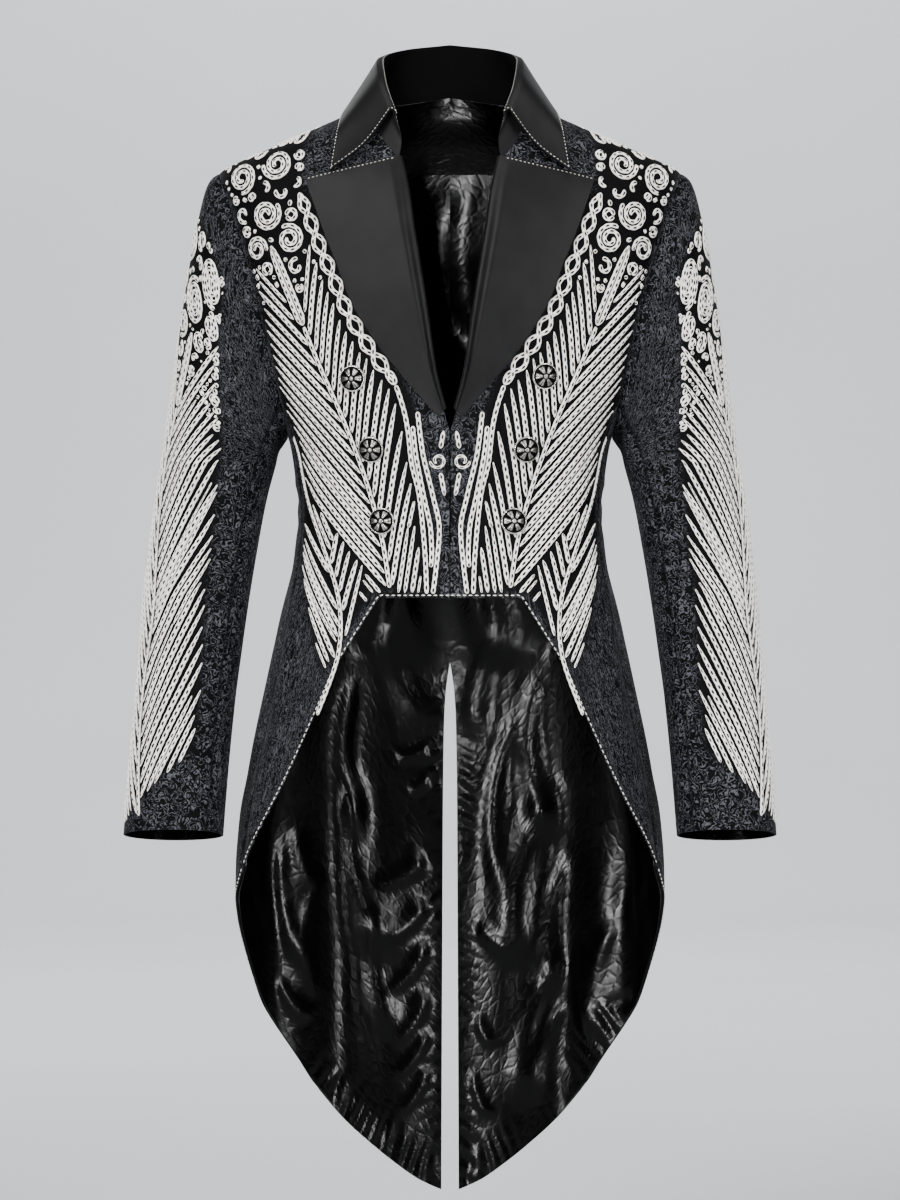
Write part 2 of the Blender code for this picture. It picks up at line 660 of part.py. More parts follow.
YOKE_ROWS = 3               # rows of the back behind the lining's yoke
SIDE_LINING_ROW = 6         # row at which the side's lining starts, below the armhole
back_inner = lining_of(back_grid)
yoke = inset(back_inner[1:YOKE_ROWS + 1, 1:], (YOKE_DROP, YOKE_SEAM, 0.0, half))
back_lining = inset(shorten(back_inner[YOKE_ROWS:], ("bottom",), LINING_SHORT),
                    (YOKE_SEAM, 0.0, 0.0006, 0.0012))
side_inner = lining_of(side_grid, SIDE_LINING_GAP)[SIDE_LINING_ROW:]
side_lining = inset(shorten(side_inner, ("bottom",), 0.2), (0.0, 0.0, 0.0022, 0.0006))

top_cut = inset(top_sleeve, (0.0, 0.0, half, 0.0004))
under_cut = inset(under_sleeve, (0.0, 0.0, 0.0004, half))

for label, mirrored in (("left", False), ("right", True)):
    shell("front_" + label, front_cut, CLOTH, "worsted", mirrored)
    shell("side_" + label, side_cut, CLOTH, "worsted", mirrored)
    shell("back_" + label, back_cut, CLOTH, "worsted", mirrored)
    shell("topsleeve_" + label, top_cut, CLOTH, "worsted", mirrored)
    shell("undersleeve_" + label, under_cut, CLOTH, "worsted", mirrored)
    shell("lapel_" + label, lapel_grid(), CLOTH, "faille", mirrored)
    shell("lining_yoke_" + label, yoke, SATIN, "satin", mirrored)
    shell("lining_back_" + label, back_lining, SATIN, "satin", mirrored)
    shell("lining_side_" + label, side_lining, SATIN, "satin", mirrored)

shell("collar", collar_grid(), CLOTH, "faille")


def button(name, x, z):
    """Domed button with a rim, turned about its axis, on the front's outer face."""
    profile = [
        (0.0, 0.0068),
        (BUTTON_RADIUS * 0.45, 0.0062),
        (BUTTON_RADIUS * 0.80, 0.0044),
        (BUTTON_RADIUS * 0.93, 0.0042),
        (BUTTON_RADIUS, 0.0032),
        (BUTTON_RADIUS * 0.96, 0.0020),
        (BUTTON_RADIUS * 0.35, 0.0012),
        (BUTTON_RADIUS * 0.33, 0.0),
        (0.0, 0.0),
    ]
    mesh = bpy.data.meshes.new(name)
    edges = [(i, i + 1) for i in range(len(profile) - 1)]
    mesh.from_pydata([(r, 0.0, h) for r, h in profile], edges, [])
    mesh.materials.append(material("silver." + name))
    made = bpy.data.objects.new(name, mesh)
    collection.objects.link(made)
    screw = made.modifiers.new("turn", "SCREW")
    screw.steps = 16
    screw.render_steps = 16
    screw.use_merge_vertices = True
    screw.merge_threshold = 0.00001
    screw.use_smooth_shade = True
    angle = angle_at(abs(x), z, -1)
    base = Vector(figure_point(angle, z))
    outward = Vector(figure_normal(angle, z))
    base, normal = front_faces.ray_cast(base + outward * 0.02, -outward)[:2]
    if normal.dot(outward) < 0.0:
        normal.negate()
    place = base + normal * (0.5 * CLOTH + BUTTON_SEAT)
    if x < 0:
        place[0] *= -1.0
        normal[0] *= -1.0
    made.location = place
    tilt = math.acos(float(normal[2]))
    made.rotation_euler = (0.0, tilt, math.atan2(float(normal[1]), float(normal[0])))
    return made


front_cage = bpy.data.objects["front_left"].data
front_faces = BVHTree.FromPolygons([v.co for v in front_cage.vertices],
                                   [tuple(f.vertices) for f in front_cage.polygons])
for label, x, z in BUTTONS:
    button(label, x, z)
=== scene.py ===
"""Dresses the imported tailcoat: fine cloth, raised chain-stitch cords, rope, satin and silver.

Frame: metres, +Z up, the front faces -Y, the wearer's left is at +X, and the origin lies
midway between the two neck points. The figure and the seams are those of the part's source,
worked out on finer grids, so each piece lies where its node does.
"""

import math

import bpy
import numpy as np
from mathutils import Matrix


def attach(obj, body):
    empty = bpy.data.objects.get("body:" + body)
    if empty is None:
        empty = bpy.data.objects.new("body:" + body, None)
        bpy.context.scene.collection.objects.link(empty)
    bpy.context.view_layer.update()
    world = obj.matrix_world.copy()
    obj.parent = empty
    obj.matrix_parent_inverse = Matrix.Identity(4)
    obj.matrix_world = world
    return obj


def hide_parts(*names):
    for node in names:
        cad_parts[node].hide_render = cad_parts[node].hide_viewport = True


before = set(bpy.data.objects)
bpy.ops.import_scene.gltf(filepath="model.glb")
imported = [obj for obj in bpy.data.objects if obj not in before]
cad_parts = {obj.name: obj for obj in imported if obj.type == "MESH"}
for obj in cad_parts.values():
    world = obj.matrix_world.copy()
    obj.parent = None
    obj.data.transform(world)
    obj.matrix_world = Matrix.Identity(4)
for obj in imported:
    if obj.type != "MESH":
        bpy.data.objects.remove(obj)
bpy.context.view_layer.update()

SIDES = (("left", False), ("right", True))      # each side's name, and whether it is mirrored

# ---------------------------------------------------------------- camera and lights
EYE = (0.0, -4.0, -0.469)   # level with the coat's middle, as in the photo
camera_data = bpy.data.cameras.new("camera")
camera_data.sensor_fit = "VERTICAL"
camera_data.sensor_height = 24.0
camera_data.lens = 84.21
camera_data.clip_end = 60.0
camera = bpy.data.objects.new("camera", camera_data)
camera.location = EYE
camera.rotation_euler = (math.pi / 2, 0.0, 0.0)
bpy.context.scene.collection.objects.link(camera)
bpy.context.scene.camera = camera


def soft_light(name, place, aim, size, watts, spread):
    """Rectangular area light at a place, turned to a point; a grid narrows its spread."""
    data = bpy.data.lights.new(name, "AREA")
    data.shape = "RECTANGLE"
    data.size = size[0]
    data.size_y = size[1]
    data.energy = watts
    data.spread = math.radians(spread)
    light = bpy.data.objects.new(name, data)
    light.location = place
    way = np.array(aim, float) - np.array(place, float)
    flat = math.hypot(way[0], way[1])
    light.rotation_euler = (math.atan2(flat, -way[2]), 0.0, math.atan2(-way[0], way[1]))
    light.visible_camera = False
    bpy.context.scene.collection.objects.link(light)


# name, place, aim, width and height, watts, spread in degrees
LIGHTS = [
    ("key", (-1.7, -2.9, 1.9), (0.0, 0.0, -0.4), (1.3, 1.7), 38, 80.0),
    ("fill", (2.2, -2.7, 1.2), (0.0, 0.0, -0.5), (1.1, 1.8), 25, 80.0),
    ("strip_left", (-2.2, -2.9, -0.70), (0.0, 0.0, -0.80), (0.40, 1.0), 3.5, 30.0),
    ("strip_right", (2.2, -2.9, -0.70), (0.0, 0.0, -0.80), (0.34, 1.0), 2.6, 30.0),
    ("neck", (-0.24, -2.6, -0.80), (0.0, 0.1, -0.16), (0.12, 0.8), 0.80, 18.0),
    ("top", (0.1, -0.4, 2.2), (0.0, 0.0, -0.2), (1.8, 1.0), 20, 110.0),
    ("back_left", (-2.4, 2.8, 1.2), (0.0, 0.0, -0.5), (1.4, 2.0), 60, 180.0),
    ("back_right", (2.6, 2.4, 0.9), (0.0, 0.0, -0.5), (1.2, 2.0), 42, 180.0),
    ("backdrop_glow", (0.0, 3.6, 3.0), (0.0, 6.6, 0.0), (5.0, 1.4), 400, 180.0),
]
for row in LIGHTS:
    soft_light(*row)
world = bpy.data.worlds.new("studio")
world.use_nodes = True
sky = world.node_tree.nodes["Background"]
sky.inputs["Color"].default_value = (0.80, 0.83, 0.88, 1.0)
sky.inputs["Strength"].default_value = 0.07
bpy.context.scene.world = world


# ---------------------------------------------------------------- materials
LINK = 7.5                  # millimetres a link of chain stitch


def linear(code):
    """Linear colour of an sRGB hex code."""
    out = []
    for i in (0, 2, 4):
        c = int(code[i:i + 2], 16) / 255.0
        out.append(c / 12.92 if c <= 0.04045 else ((c + 0.055) / 1.055) ** 2.4)
    return (*out, 1.0)


def node(tree, kind, links=None, **settings):
    """Adds a node; links names an input and its value or the socket that feeds it."""
    made = tree.nodes.new(kind)
    for key, value in settings.items():
        setattr(made, key, value)
    for key, value in (links or {}).items():
        if isinstance(value, bpy.types.NodeSocket):
            tree.links.new(value, made.inputs[key])
        else:
            made.inputs[key].default_value = value
    return made


def surface(name, code, roughness, **sockets):
    """Principled material with its constants on the shader; gives material, tree and shader."""
    made = bpy.data.materials.new(name)
    made.use_nodes = True
    shader = made.node_tree.nodes["Principled BSDF"]
    shader.inputs["Base Color"].default_value = linear(code)
    shader.inputs["Roughness"].default_value = roughness
    for key, value in sockets.items():
        shader.inputs[key.replace("_", " ")].default_value = value
    made.diffuse_color = linear(code)
    return made, made.node_tree, shader


def vermicelli_worsted():
    """Wool worsted worked all over in fine raised worm lines, black on black.

    Real lines are about 1.5 mm wide and 4 mm apart: level lines of a flat noise whose cells
    are 8 mm. Their grey base colour is partly the raised thread's own slightly lighter tone
    and partly a painted highlight, the glint of the raised lines; the ground is near-black
    matt, so the cloth looks pebbled. Under the needlework, where the mesh's own attribute says
    so, the ground is plain black, with no painted highlight.
    """
    made, tree, shader = surface("vermicelli_worsted", "08080a", 0.75, Specular_IOR_Level=0.06)
    uv = node(tree, "ShaderNodeUVMap", uv_map="metres").outputs["UV"]
    hills = node(tree, "ShaderNodeTexNoise", {"Vector": uv, "Scale": 122.0, "Detail": 1.0,
                                               "Roughness": 0.4, "Distortion": 0.9},
                 noise_dimensions="2D").outputs["Fac"]
    turns = node(tree, "ShaderNodeMath", {0: hills, 1: 30.0}, operation="MULTIPLY").outputs[0]
    wave = node(tree, "ShaderNodeMath", {0: turns}, operation="SINE").outputs[0]
    lines = node(tree, "ShaderNodeMapRange", {"Value": wave, "From Min": 0.25, "From Max": 0.80},
                 interpolation_type="SMOOTHSTEP").outputs[0]
    patch = node(tree, "ShaderNodeTexNoise", {"Vector": uv, "Scale": 420.0, "Detail": 2.0},
                 noise_dimensions="2D").outputs["Fac"]
    broken = node(tree, "ShaderNodeMapRange", {"Value": patch, "From Min": 0.36,
                                                "From Max": 0.50}).outputs[0]
    covered = node(tree, "ShaderNodeAttribute", attribute_name="needlework").outputs["Fac"]
    open_cloth = node(tree, "ShaderNodeMath", {0: 1.0, 1: covered}, operation="SUBTRACT").outputs[0]
    worked = node(tree, "ShaderNodeMath", {0: lines, 1: broken}, operation="MULTIPLY").outputs[0]
    glint = node(tree, "ShaderNodeMath", {0: worked, 1: open_cloth},
                 operation="MULTIPLY").outputs[0]
    # grey on the raised lines: partly their own lighter thread, partly painted highlight
    colour = node(tree, "ShaderNodeMix", {"Factor": glint}, data_type="RGBA")
    colour.inputs[6].default_value = linear("030304")
    colour.inputs[7].default_value = linear("44454a")
    tree.links.new(colour.outputs[2], shader.inputs["Base Color"])
    bump = node(tree, "ShaderNodeBump", {"Height": lines, "Strength": 0.55, "Distance": 0.0006})
    tree.links.new(bump.outputs[0], shader.inputs["Normal"])
    return made


def ribbed_faille():
    """Charcoal silk faille: crosswise ribs 0.5 mm apart, drawn 1.1 mm so that they show.

    The ribs give a quiet, even lustre with a soft light along the roll.
    """
    made, tree, shader = surface("ribbed_faille", "0c0c0d", 0.46, Sheen_Weight=0.02,
                                 Sheen_Roughness=0.35, Specular_IOR_Level=0.09)
    uv = node(tree, "ShaderNodeUVMap", uv_map="metres").outputs["UV"]
    ribs = node(tree, "ShaderNodeTexWave", {"Vector": uv, "Scale": 290.0, "Distortion": 0.35,
                                             "Detail": 1.0, "Detail Scale": 2.0},
                wave_type="BANDS", bands_direction="Y").outputs["Fac"]
    cloud = node(tree, "ShaderNodeTexNoise", {"Vector": uv, "Scale": 45.0, "Detail": 3.0},
                 noise_dimensions="2D").outputs["Fac"]
    shade = node(tree, "ShaderNodeValToRGB", {"Fac": cloud})
    shade.color_ramp.elements[0].position = 0.3
    shade.color_ramp.elements[0].color = linear("0a0a0b")
    shade.color_ramp.elements[1].position = 0.75
    shade.color_ramp.elements[1].color = linear("101011")
    tree.links.new(shade.outputs["Color"], shader.inputs["Base Color"])
    bump = node(tree, "ShaderNodeBump", {"Height": ribs, "Strength": 0.12, "Distance": 0.0002})
    tree.links.new(bump.outputs[0], shader.inputs["Normal"])
    return made


def collar_stand_painted_shade():
    """Painted shade inside the collar's stand, where its faille lies in deep shadow: a near-black
    dull stuff with twill ribs, 2.2 mm a rib as drawn.
    """
    made, tree, shader = surface("collar_stand_painted_shade", "030303", 0.85, Specular_IOR_Level=0.03)
    uv = node(tree, "ShaderNodeUVMap", uv_map="metres").outputs["UV"]
    ribs = node(tree, "ShaderNodeTexWave", {"Vector": uv, "Scale": 200.0, "Distortion": 0.4,
                                             "Detail": 1.0},
                wave_type="BANDS", bands_direction="DIAGONAL").outputs["Fac"]
    # near-black ribs: painted shade for the faille inside the stand
    shade = node(tree, "ShaderNodeMix", {"Factor": ribs}, data_type="RGBA")
    shade.inputs[6].default_value = linear("020202")
    shade.inputs[7].default_value = linear("050506")
    tree.links.new(shade.outputs[2], shader.inputs["Base Color"])
    bump = node(tree, "ShaderNodeBump", {"Height": ribs, "Strength": 0.2, "Distance": 0.0002})
    tree.links.new(bump.outputs[0], shader.inputs["Normal"])
    return made


def black_satin():
    """Black acetate satin: warp floats in a smooth black that glints only along its folds.

    Real satin is a stronger mirror; its reflections are held down here, since the bright
    stage would whiten it. Small creases 11 mm apart break up what is left.
    """
    made, tree, shader = surface("black_satin", "010101", 0.22, Specular_IOR_Level=0.11)
    uv = node(tree, "ShaderNodeUVMap", uv_map="metres").outputs["UV"]
    slub = node(tree, "ShaderNodeTexNoise", {"Vector": uv, "Scale": 62.0, "Detail": 2.0,
                                              "Roughness": 0.5, "Distortion": 0.9},
                noise_dimensions="2D").outputs["Fac"]
    gloss = node(tree, "ShaderNodeMapRange", {"Value": slub, "From Min": 0.3, "From Max": 0.7,
                                               "To Min": 0.19, "To Max": 0.26}).outputs[0]
    tree.links.new(gloss, shader.inputs["Roughness"])
    cells = node(tree, "ShaderNodeTexVoronoi", {"Vector": uv, "Scale": 88.0, "Randomness": 1.0},
                 voronoi_dimensions="2D", feature="DISTANCE_TO_EDGE").outputs["Distance"]
    crease = node(tree, "ShaderNodeMath", {0: cells, 1: 0.22}, operation="MINIMUM").outputs[0]
    soft = node(tree, "ShaderNodeMath", {0: slub, 1: 0.4}, operation="MULTIPLY").outputs[0]
    relief = node(tree, "ShaderNodeMath", {0: soft, 1: crease}, operation="ADD").outputs[0]
    bump = node(tree, "ShaderNodeBump", {"Height": relief, "Strength": 0.30, "Distance": 0.0012})
    tree.links.new(bump.outputs[0], shader.inputs["Normal"])
    return made


def cotton_cord():
    """Thick off-white cotton thread in chain stitch; the UV's v is millimetres along a row.

    Each link is 7.5 mm long with a dark eye, where the black ground shows, and its two strands
    are twisted from finer yarn, 1 mm to a turn, so a row looks like a plait with a line of dark
    dashes. The row's sides are darkened where the cord turns down into the cloth: painted shade.
    """
    made, tree, shader = surface("cotton_cord", "e4dfd6", 0.82, Sheen_Weight=0.25,
                                 Sheen_Roughness=0.5, Specular_IOR_Level=0.25)
    uv = node(tree, "ShaderNodeUVMap", uv_map="row").outputs["UV"]
    parts = node(tree, "ShaderNodeSeparateXYZ", {0: uv})
    across = node(tree, "ShaderNodeMath", {0: parts.outputs["X"]}, operation="ABSOLUTE").outputs[0]
    along = node(tree, "ShaderNodeMath", {0: parts.outputs["Y"], 1: LINK},
                 operation="DIVIDE").outputs[0]
    place = node(tree, "ShaderNodeMath", {0: along}, operation="FRACT").outputs[0]
    centred = node(tree, "ShaderNodeMath", {0: place, 1: 0.5}, operation="SUBTRACT").outputs[0]
    end = node(tree, "ShaderNodeMath", {0: centred}, operation="ABSOLUTE").outputs[0]
    eye_x = node(tree, "ShaderNodeMath", {0: across, 1: 0.44}, operation="DIVIDE").outputs[0]
    eye_y = node(tree, "ShaderNodeMath", {0: end, 1: 0.30}, operation="DIVIDE").outputs[0]
    square_x = node(tree, "ShaderNodeMath", {0: eye_x, 1: 2.0}, operation="POWER").outputs[0]
    square_y = node(tree, "ShaderNodeMath", {0: eye_y, 1: 2.0}, operation="POWER").outputs[0]
    reach = node(tree, "ShaderNodeMath", {0: square_x, 1: square_y}, operation="ADD").outputs[0]
    eye = node(tree, "ShaderNodeMapRange", {"Value": reach, "From Min": 0.75, "From Max": 1.25,
                                             "To Min": 1.0, "To Max": 0.0}).outputs[0]
    # darker towards the row's sides, where the cord meets the cloth: painted shade
    edge = node(tree, "ShaderNodeMapRange", {"Value": across, "From Min": 0.86, "From Max": 1.0,
                                              "To Min": 0.0, "To Max": 0.75}).outputs[0]
    dark = node(tree, "ShaderNodeMath", {0: eye, 1: edge}, operation="MAXIMUM").outputs[0]
    slant = node(tree, "ShaderNodeMath", {0: across, 1: 1.6}, operation="MULTIPLY").outputs[0]
    twist = node(tree, "ShaderNodeMath", {0: parts.outputs["Y"], 1: slant},
                 operation="ADD").outputs[0]
    turn = node(tree, "ShaderNodeMath", {0: twist, 1: 5.2}, operation="MULTIPLY").outputs[0]
    yarn = node(tree, "ShaderNodeMath", {0: turn}, operation="SINE").outputs[0]
    place3d = node(tree, "ShaderNodeTexCoord").outputs["Object"]
    cloud = node(tree, "ShaderNodeTexNoise", {"Vector": place3d, "Scale": 60.0,
                                               "Detail": 3.0}).outputs["Fac"]
    tone = node(tree, "ShaderNodeValToRGB", {"Fac": cloud})
    tone.color_ramp.elements[0].position = 0.3
    tone.color_ramp.elements[0].color = linear("dcd7ce")
    tone.color_ramp.elements[1].position = 0.7
    tone.color_ramp.elements[1].color = linear("f4f1eb")
    # 0c0b0a is the black ground in a link's eye, and painted shade along the row's sides
    colour = node(tree, "ShaderNodeMix", {"Factor": dark}, data_type="RGBA")
    tree.links.new(tone.outputs["Color"], colour.inputs[6])
    colour.inputs[7].default_value = linear("0c0b0a")
    tree.links.new(colour.outputs[2], shader.inputs["Base Color"])
    bump = node(tree, "ShaderNodeBump", {"Height": yarn, "Strength": 0.35, "Distance": 0.0002})
    tree.links.new(bump.outputs[0], shader.inputs["Normal"])
    return made


def twisted_rope():
    """Two-strand off-white cotton rope; fine yarn lines, 1.2 mm apart, slant over each strand, and
    their colour follows their height: painted shade in the grooves, painted highlight on the
    crests.
    """
    made, tree, shader = surface("twisted_rope", "ddd8ce", 0.80, Sheen_Weight=0.25,
                                 Sheen_Roughness=0.5, Specular_IOR_Level=0.25)
    uv = node(tree, "ShaderNodeUVMap", uv_map="row").outputs["UV"]
    parts = node(tree, "ShaderNodeSeparateXYZ", {0: uv})
    slant = node(tree, "ShaderNodeMath", {0: parts.outputs["X"], 1: 6.0},
                 operation="MULTIPLY").outputs[0]
    twist = node(tree, "ShaderNodeMath", {0: parts.outputs["Y"], 1: slant},
                 operation="ADD").outputs[0]
    turn = node(tree, "ShaderNodeMath", {0: twist, 1: 4.6}, operation="MULTIPLY").outputs[0]
    yarn = node(tree, "ShaderNodeMath", {0: turn}, operation="SINE").outputs[0]
    # tone goes with the yarn's height: painted shade in the grooves, painted highlight on the
    # crests
    tone = node(tree, "ShaderNodeMapRange", {"Value": yarn, "From Min": -1.0, "From Max": 1.0,
                                              "To Min": 0.0, "To Max": 1.0}).outputs[0]
    colour = node(tree, "ShaderNodeMix", {"Factor": tone}, data_type="RGBA")
    colour.inputs[6].default_value = linear("c4beb3")
    colour.inputs[7].default_value = linear("f0ece4")
    tree.links.new(colour.outputs[2], shader.inputs["Base Color"])
    bump = node(tree, "ShaderNodeBump", {"Height": yarn, "Strength": 0.4, "Distance": 0.0002})
    tree.links.new(bump.outputs[0], shader.inputs["Normal"])
    return made


def antique_silver():
    """Cast zinc plated in silver and oxidised: bright where rubbed, dark in the hollows.

    The height over the button's dome, held in the UV's v from 0 to 1, sets the tarnish.
    """
    made, tree, shader = surface("antique_silver", "7c7a76", 0.30, Metallic=1.0)
    uv = node(tree, "ShaderNodeUVMap", uv_map="row").outputs["UV"]
    high = node(tree, "ShaderNodeSeparateXYZ", {0: uv}).outputs["Y"]
    place3d = node(tree, "ShaderNodeTexCoord").outputs["Object"]
    spots = node(tree, "ShaderNodeTexNoise", {"Vector": place3d, "Scale": 900.0,
                                               "Detail": 4.0}).outputs["Fac"]
    worn = node(tree, "ShaderNodeMath", {0: spots, 1: 0.5}, operation="MULTIPLY").outputs[0]
    mixed = node(tree, "ShaderNodeMath", {0: high, 1: worn}, operation="ADD").outputs[0]
    tone = node(tree, "ShaderNodeValToRGB", {"Fac": mixed})
    tone.color_ramp.elements[0].position = 0.70
    tone.color_ramp.elements[0].color = linear("0b0a0a")
    tone.color_ramp.elements[1].position = 1.0
    tone.color_ramp.elements[1].color = linear("a09e99")
    tree.links.new(tone.outputs["Color"], shader.inputs["Base Color"])
    rough = node(tree, "ShaderNodeMapRange", {"Value": mixed, "From Min": 0.4, "From Max": 1.0,
                                               "To Min": 0.62, "To Max": 0.26}).outputs[0]
    tree.links.new(rough, shader.inputs["Roughness"])
    bump = node(tree, "ShaderNodeBump", {"Height": spots, "Strength": 0.15, "Distance": 0.0002})
    tree.links.new(bump.outputs[0], shader.inputs["Normal"])
    return made


def studio_paper():
    """Seamless paper, pale grey and matt, with a faint unevenness."""
    made, tree, shader = surface("studio_paper", "b9bbbf", 0.95, Specular_IOR_Level=0.2)
    place3d = node(tree, "ShaderNodeTexCoord").outputs["Object"]
    cloud = node(tree, "ShaderNodeTexNoise", {"Vector": place3d, "Scale": 1.3,
                                               "Detail": 2.0}).outputs["Fac"]
    tone = node(tree, "ShaderNodeValToRGB", {"Fac": cloud})
    tone.color_ramp.elements[0].color = linear("c6c8cb")
    tone.color_ramp.elements[1].color = linear("d0d2d4")
    tree.links.new(tone.outputs["Color"], shader.inputs["Base Color"])
    return made


CLOTH_STUFF = vermicelli_worsted()
FAILLE_STUFF = ribbed_faille()
SATIN_STUFF = black_satin()
STAND_PAINTED_SHADE_STUFF = collar_stand_painted_shade()
CORD_STUFF = cotton_cord()
ROPE_STUFF = twisted_rope()
SILVER_STUFF = antique_silver()
PAPER_STUFF = studio_paper()

# ---------------------------------------------------------------- the part's own dimensions
CLOTH = 0.0016              # wall of the outer cloth with its interlining
SATIN = 0.0010              # wall of the lining
SEAM = 0.0004               # gap between two pieces at a seam
POWER = 2.3                 # exponent of the superellipse sections
NECK_HALF = 0.075           # half width between the neck points
SHOULDER_TIP_X = 0.220
SHOULDER_TIP_Z = -0.0636
SHOULDER_SOFT = 0.020       # how far the shoulder's corner is rounded away from the ridge
CENTRE_HALF = 0.0006        # half the gap between the two front edges
NAPE_RISE = 0.016           # height of the neckline at the centre back
FLUTE_DEPTH = 0.0045        # height of the tails' soft flutes, fading out above the seat
FLUTE_TURN = 31.0           # degrees round the figure from one flute to the next
LAPEL_ROLL = 0.0026         # radius of the lapel's rolled edge
LAPEL_LIFT = 0.0042         # height of the lapel over the front, at its outer edge
LAPEL_SWELL = 0.0042        # how much higher it stands near the roll, in the middle of its length
COLLAR_SWELL = (-0.0051, -0.0060, -0.0048)      # bulge of the fall's front edge at its middle
SLEEVE_HEAD = 0.010         # how far the roped sleeve head stands out of the armhole
BUTTON_RADIUS = 0.0122
FRONT_SEAM = 72.5           # angle of the seam between the front and the side
CUFF_TILT = 0.16            # how much lower the cuff is in front, for each metre of depth
PRESSED = 0.0011            # how deep the panels' edges are pressed in along a seam
SLEEVE_PRESSED = 0.0006     # the same on the sleeves
BODY_DEGREE = 0.0028        # metres round the body a degree, for the width of its folds
ARM_DEGREE = 0.0009         # the same round the arm
LINING_GAP = 0.0004         # space between the cloth and its lining
LINING_SLACK = 0.0012       # how far the lining hangs off it between the folds
FOLD_STEEPEST = 0.21        # depth of a lining fold over its width, at the most
FOLD_GAIN = 1.5             # how much deeper the lining hangs than the table of folds says
MIRROR_SHIFT = 1.7          # metres along the cloth between the patterns of the two sides

# height, half width, depth to the front, depth to the back
FIGURE = [
    (-0.0636, 0.2200, 0.0840, 0.0960), (-0.1000, 0.2165, 0.0960, 0.1080),
    (-0.1500, 0.2050, 0.1070, 0.1160), (-0.2000, 0.1925, 0.1150, 0.1180),
    (-0.2500, 0.1785, 0.1180, 0.1140), (-0.2900, 0.1640, 0.1160, 0.1060),
    (-0.3170, 0.1520, 0.1120, 0.0990), (-0.3550, 0.1460, 0.1050, 0.0910),
    (-0.3850, 0.1440, 0.1010, 0.0890), (-0.4310, 0.1475, 0.1020, 0.0950),
    (-0.4690, 0.1550, 0.1060, 0.1040), (-0.5070, 0.1630, 0.1100, 0.1120),
    (-0.5450, 0.1710, 0.1130, 0.1180), (-0.6020, 0.1830, 0.1160, 0.1230),
    (-0.6400, 0.1900, 0.1180, 0.1250), (-0.6780, 0.1975, 0.1190, 0.1265),
    (-0.7200, 0.2025, 0.1200, 0.1270), (-0.8000, 0.2035, 0.1200, 0.1270),
    (-1.0600, 0.2035, 0.1200, 0.1250),
]
# height, angle of the armhole's front and of its back (90 is the side)
ARMHOLE = [
    (-0.0636, 90.0, 90.0), (-0.0700, 82.0, 98.0), (-0.0820, 76.0, 104.0), (-0.1000, 71.5, 109.0),
    (-0.1300, 69.0, 112.5), (-0.1650, 67.2, 115.0), (-0.2000, 66.6, 116.0), (-0.2350, 67.2, 116.0),
    (-0.2680, 69.4, 113.5), (-0.2920, 74.0, 108.5), (-0.3080, 81.5, 100.0), (-0.3150, 90.0, 90.0),
]
# height, angle of the seam between the side and the back
BACK_SEAM = [
    (-0.2400, 115.8), (-0.2800, 124.0), (-0.3200, 132.5), (-0.3700, 138.5), (-0.4200, 141.0),
    (-0.4690, 140.5), (-0.5800, 140.6), (-0.7000, 143.3), (-0.8200, 143.6), (-1.0600, 143.6),
]
# x, height, and -1 in front of the side or +1 behind it
HEM = [
    (0.0660, -0.4670, -1), (0.0870, -0.5000, -1), (0.1075, -0.5340, -1), (0.1255, -0.5750, -1),
    (0.1430, -0.6142, -1), (0.1669, -0.6625, -1), (0.1844, -0.6961, -1), (0.1978, -0.7315, -1),
    (0.2034, -0.7560, 1), (0.2018, -0.7780, 1), (0.1988, -0.7970, 1), (0.1947, -0.8151, 1),
    (0.1886, -0.8354, 1), (0.1814, -0.8558, 1), (0.1711, -0.8760, 1), (0.1598, -0.8962, 1),
    (0.1474, -0.9165, 1), (0.1341, -0.9369, 1), (0.1186, -0.9568, 1), (0.1021, -0.9768, 1),
    (0.0807, -0.9969, 1), (0.0573, -1.0169, 1), (0.0299, -1.0366, 1), (0.0094, -1.0463, 1),
]
# x and height of the neckline in front, of the lapel's roll and of its outer edge
NECK_FRONT = [
    (0.0750, 0.0000), (0.0745, -0.0080), (0.0710, -0.0200), (0.0620, -0.0400), (0.0478, -0.0580),
]
ROLL_LINE = [
    (0.0478, -0.0580), (0.0413, -0.0878), (0.0360, -0.1240), (0.0315, -0.1520),
    (0.0240, -0.2000), (0.0150, -0.2600), (0.0040, -0.3000), (CENTRE_HALF, -0.3120),
]
LAPEL_EDGE = [
    (0.1335, -0.0775), (0.1225, -0.1085), (0.1130, -0.1345), (0.1030, -0.1590),
    (0.0915, -0.1900), (0.0660, -0.2330), (0.0405, -0.2650), (0.0105, -0.3000),
]
# height, half the gap of the centre-back vent
VENT = [
    (-0.5300, 0.0004), (-0.5600, 0.0044), (-0.5900, 0.0060), (-0.6700, 0.0071), (-1.0500, 0.0090),
]
# height, x and y of the arm's middle, half width across and half depth
ARM = [
    (-0.3400, 0.2195, -0.0040, 0.0538, 0.0590), (-0.3740, 0.2264, -0.0070, 0.0517, 0.0565),
    (-0.4200, 0.2335, -0.0130, 0.0503, 0.0545), (-0.4690, 0.2400, -0.0200, 0.0490, 0.0530),
    (-0.5160, 0.2448, -0.0280, 0.0475, 0.0515), (-0.5640, 0.2492, -0.0360, 0.0460, 0.0505),
    (-0.6120, 0.2535, -0.0440, 0.0459, 0.0500), (-0.6590, 0.2571, -0.0520, 0.0460, 0.0498),
    (-0.6890, 0.2590, -0.0570, 0.0459, 0.0490),
]
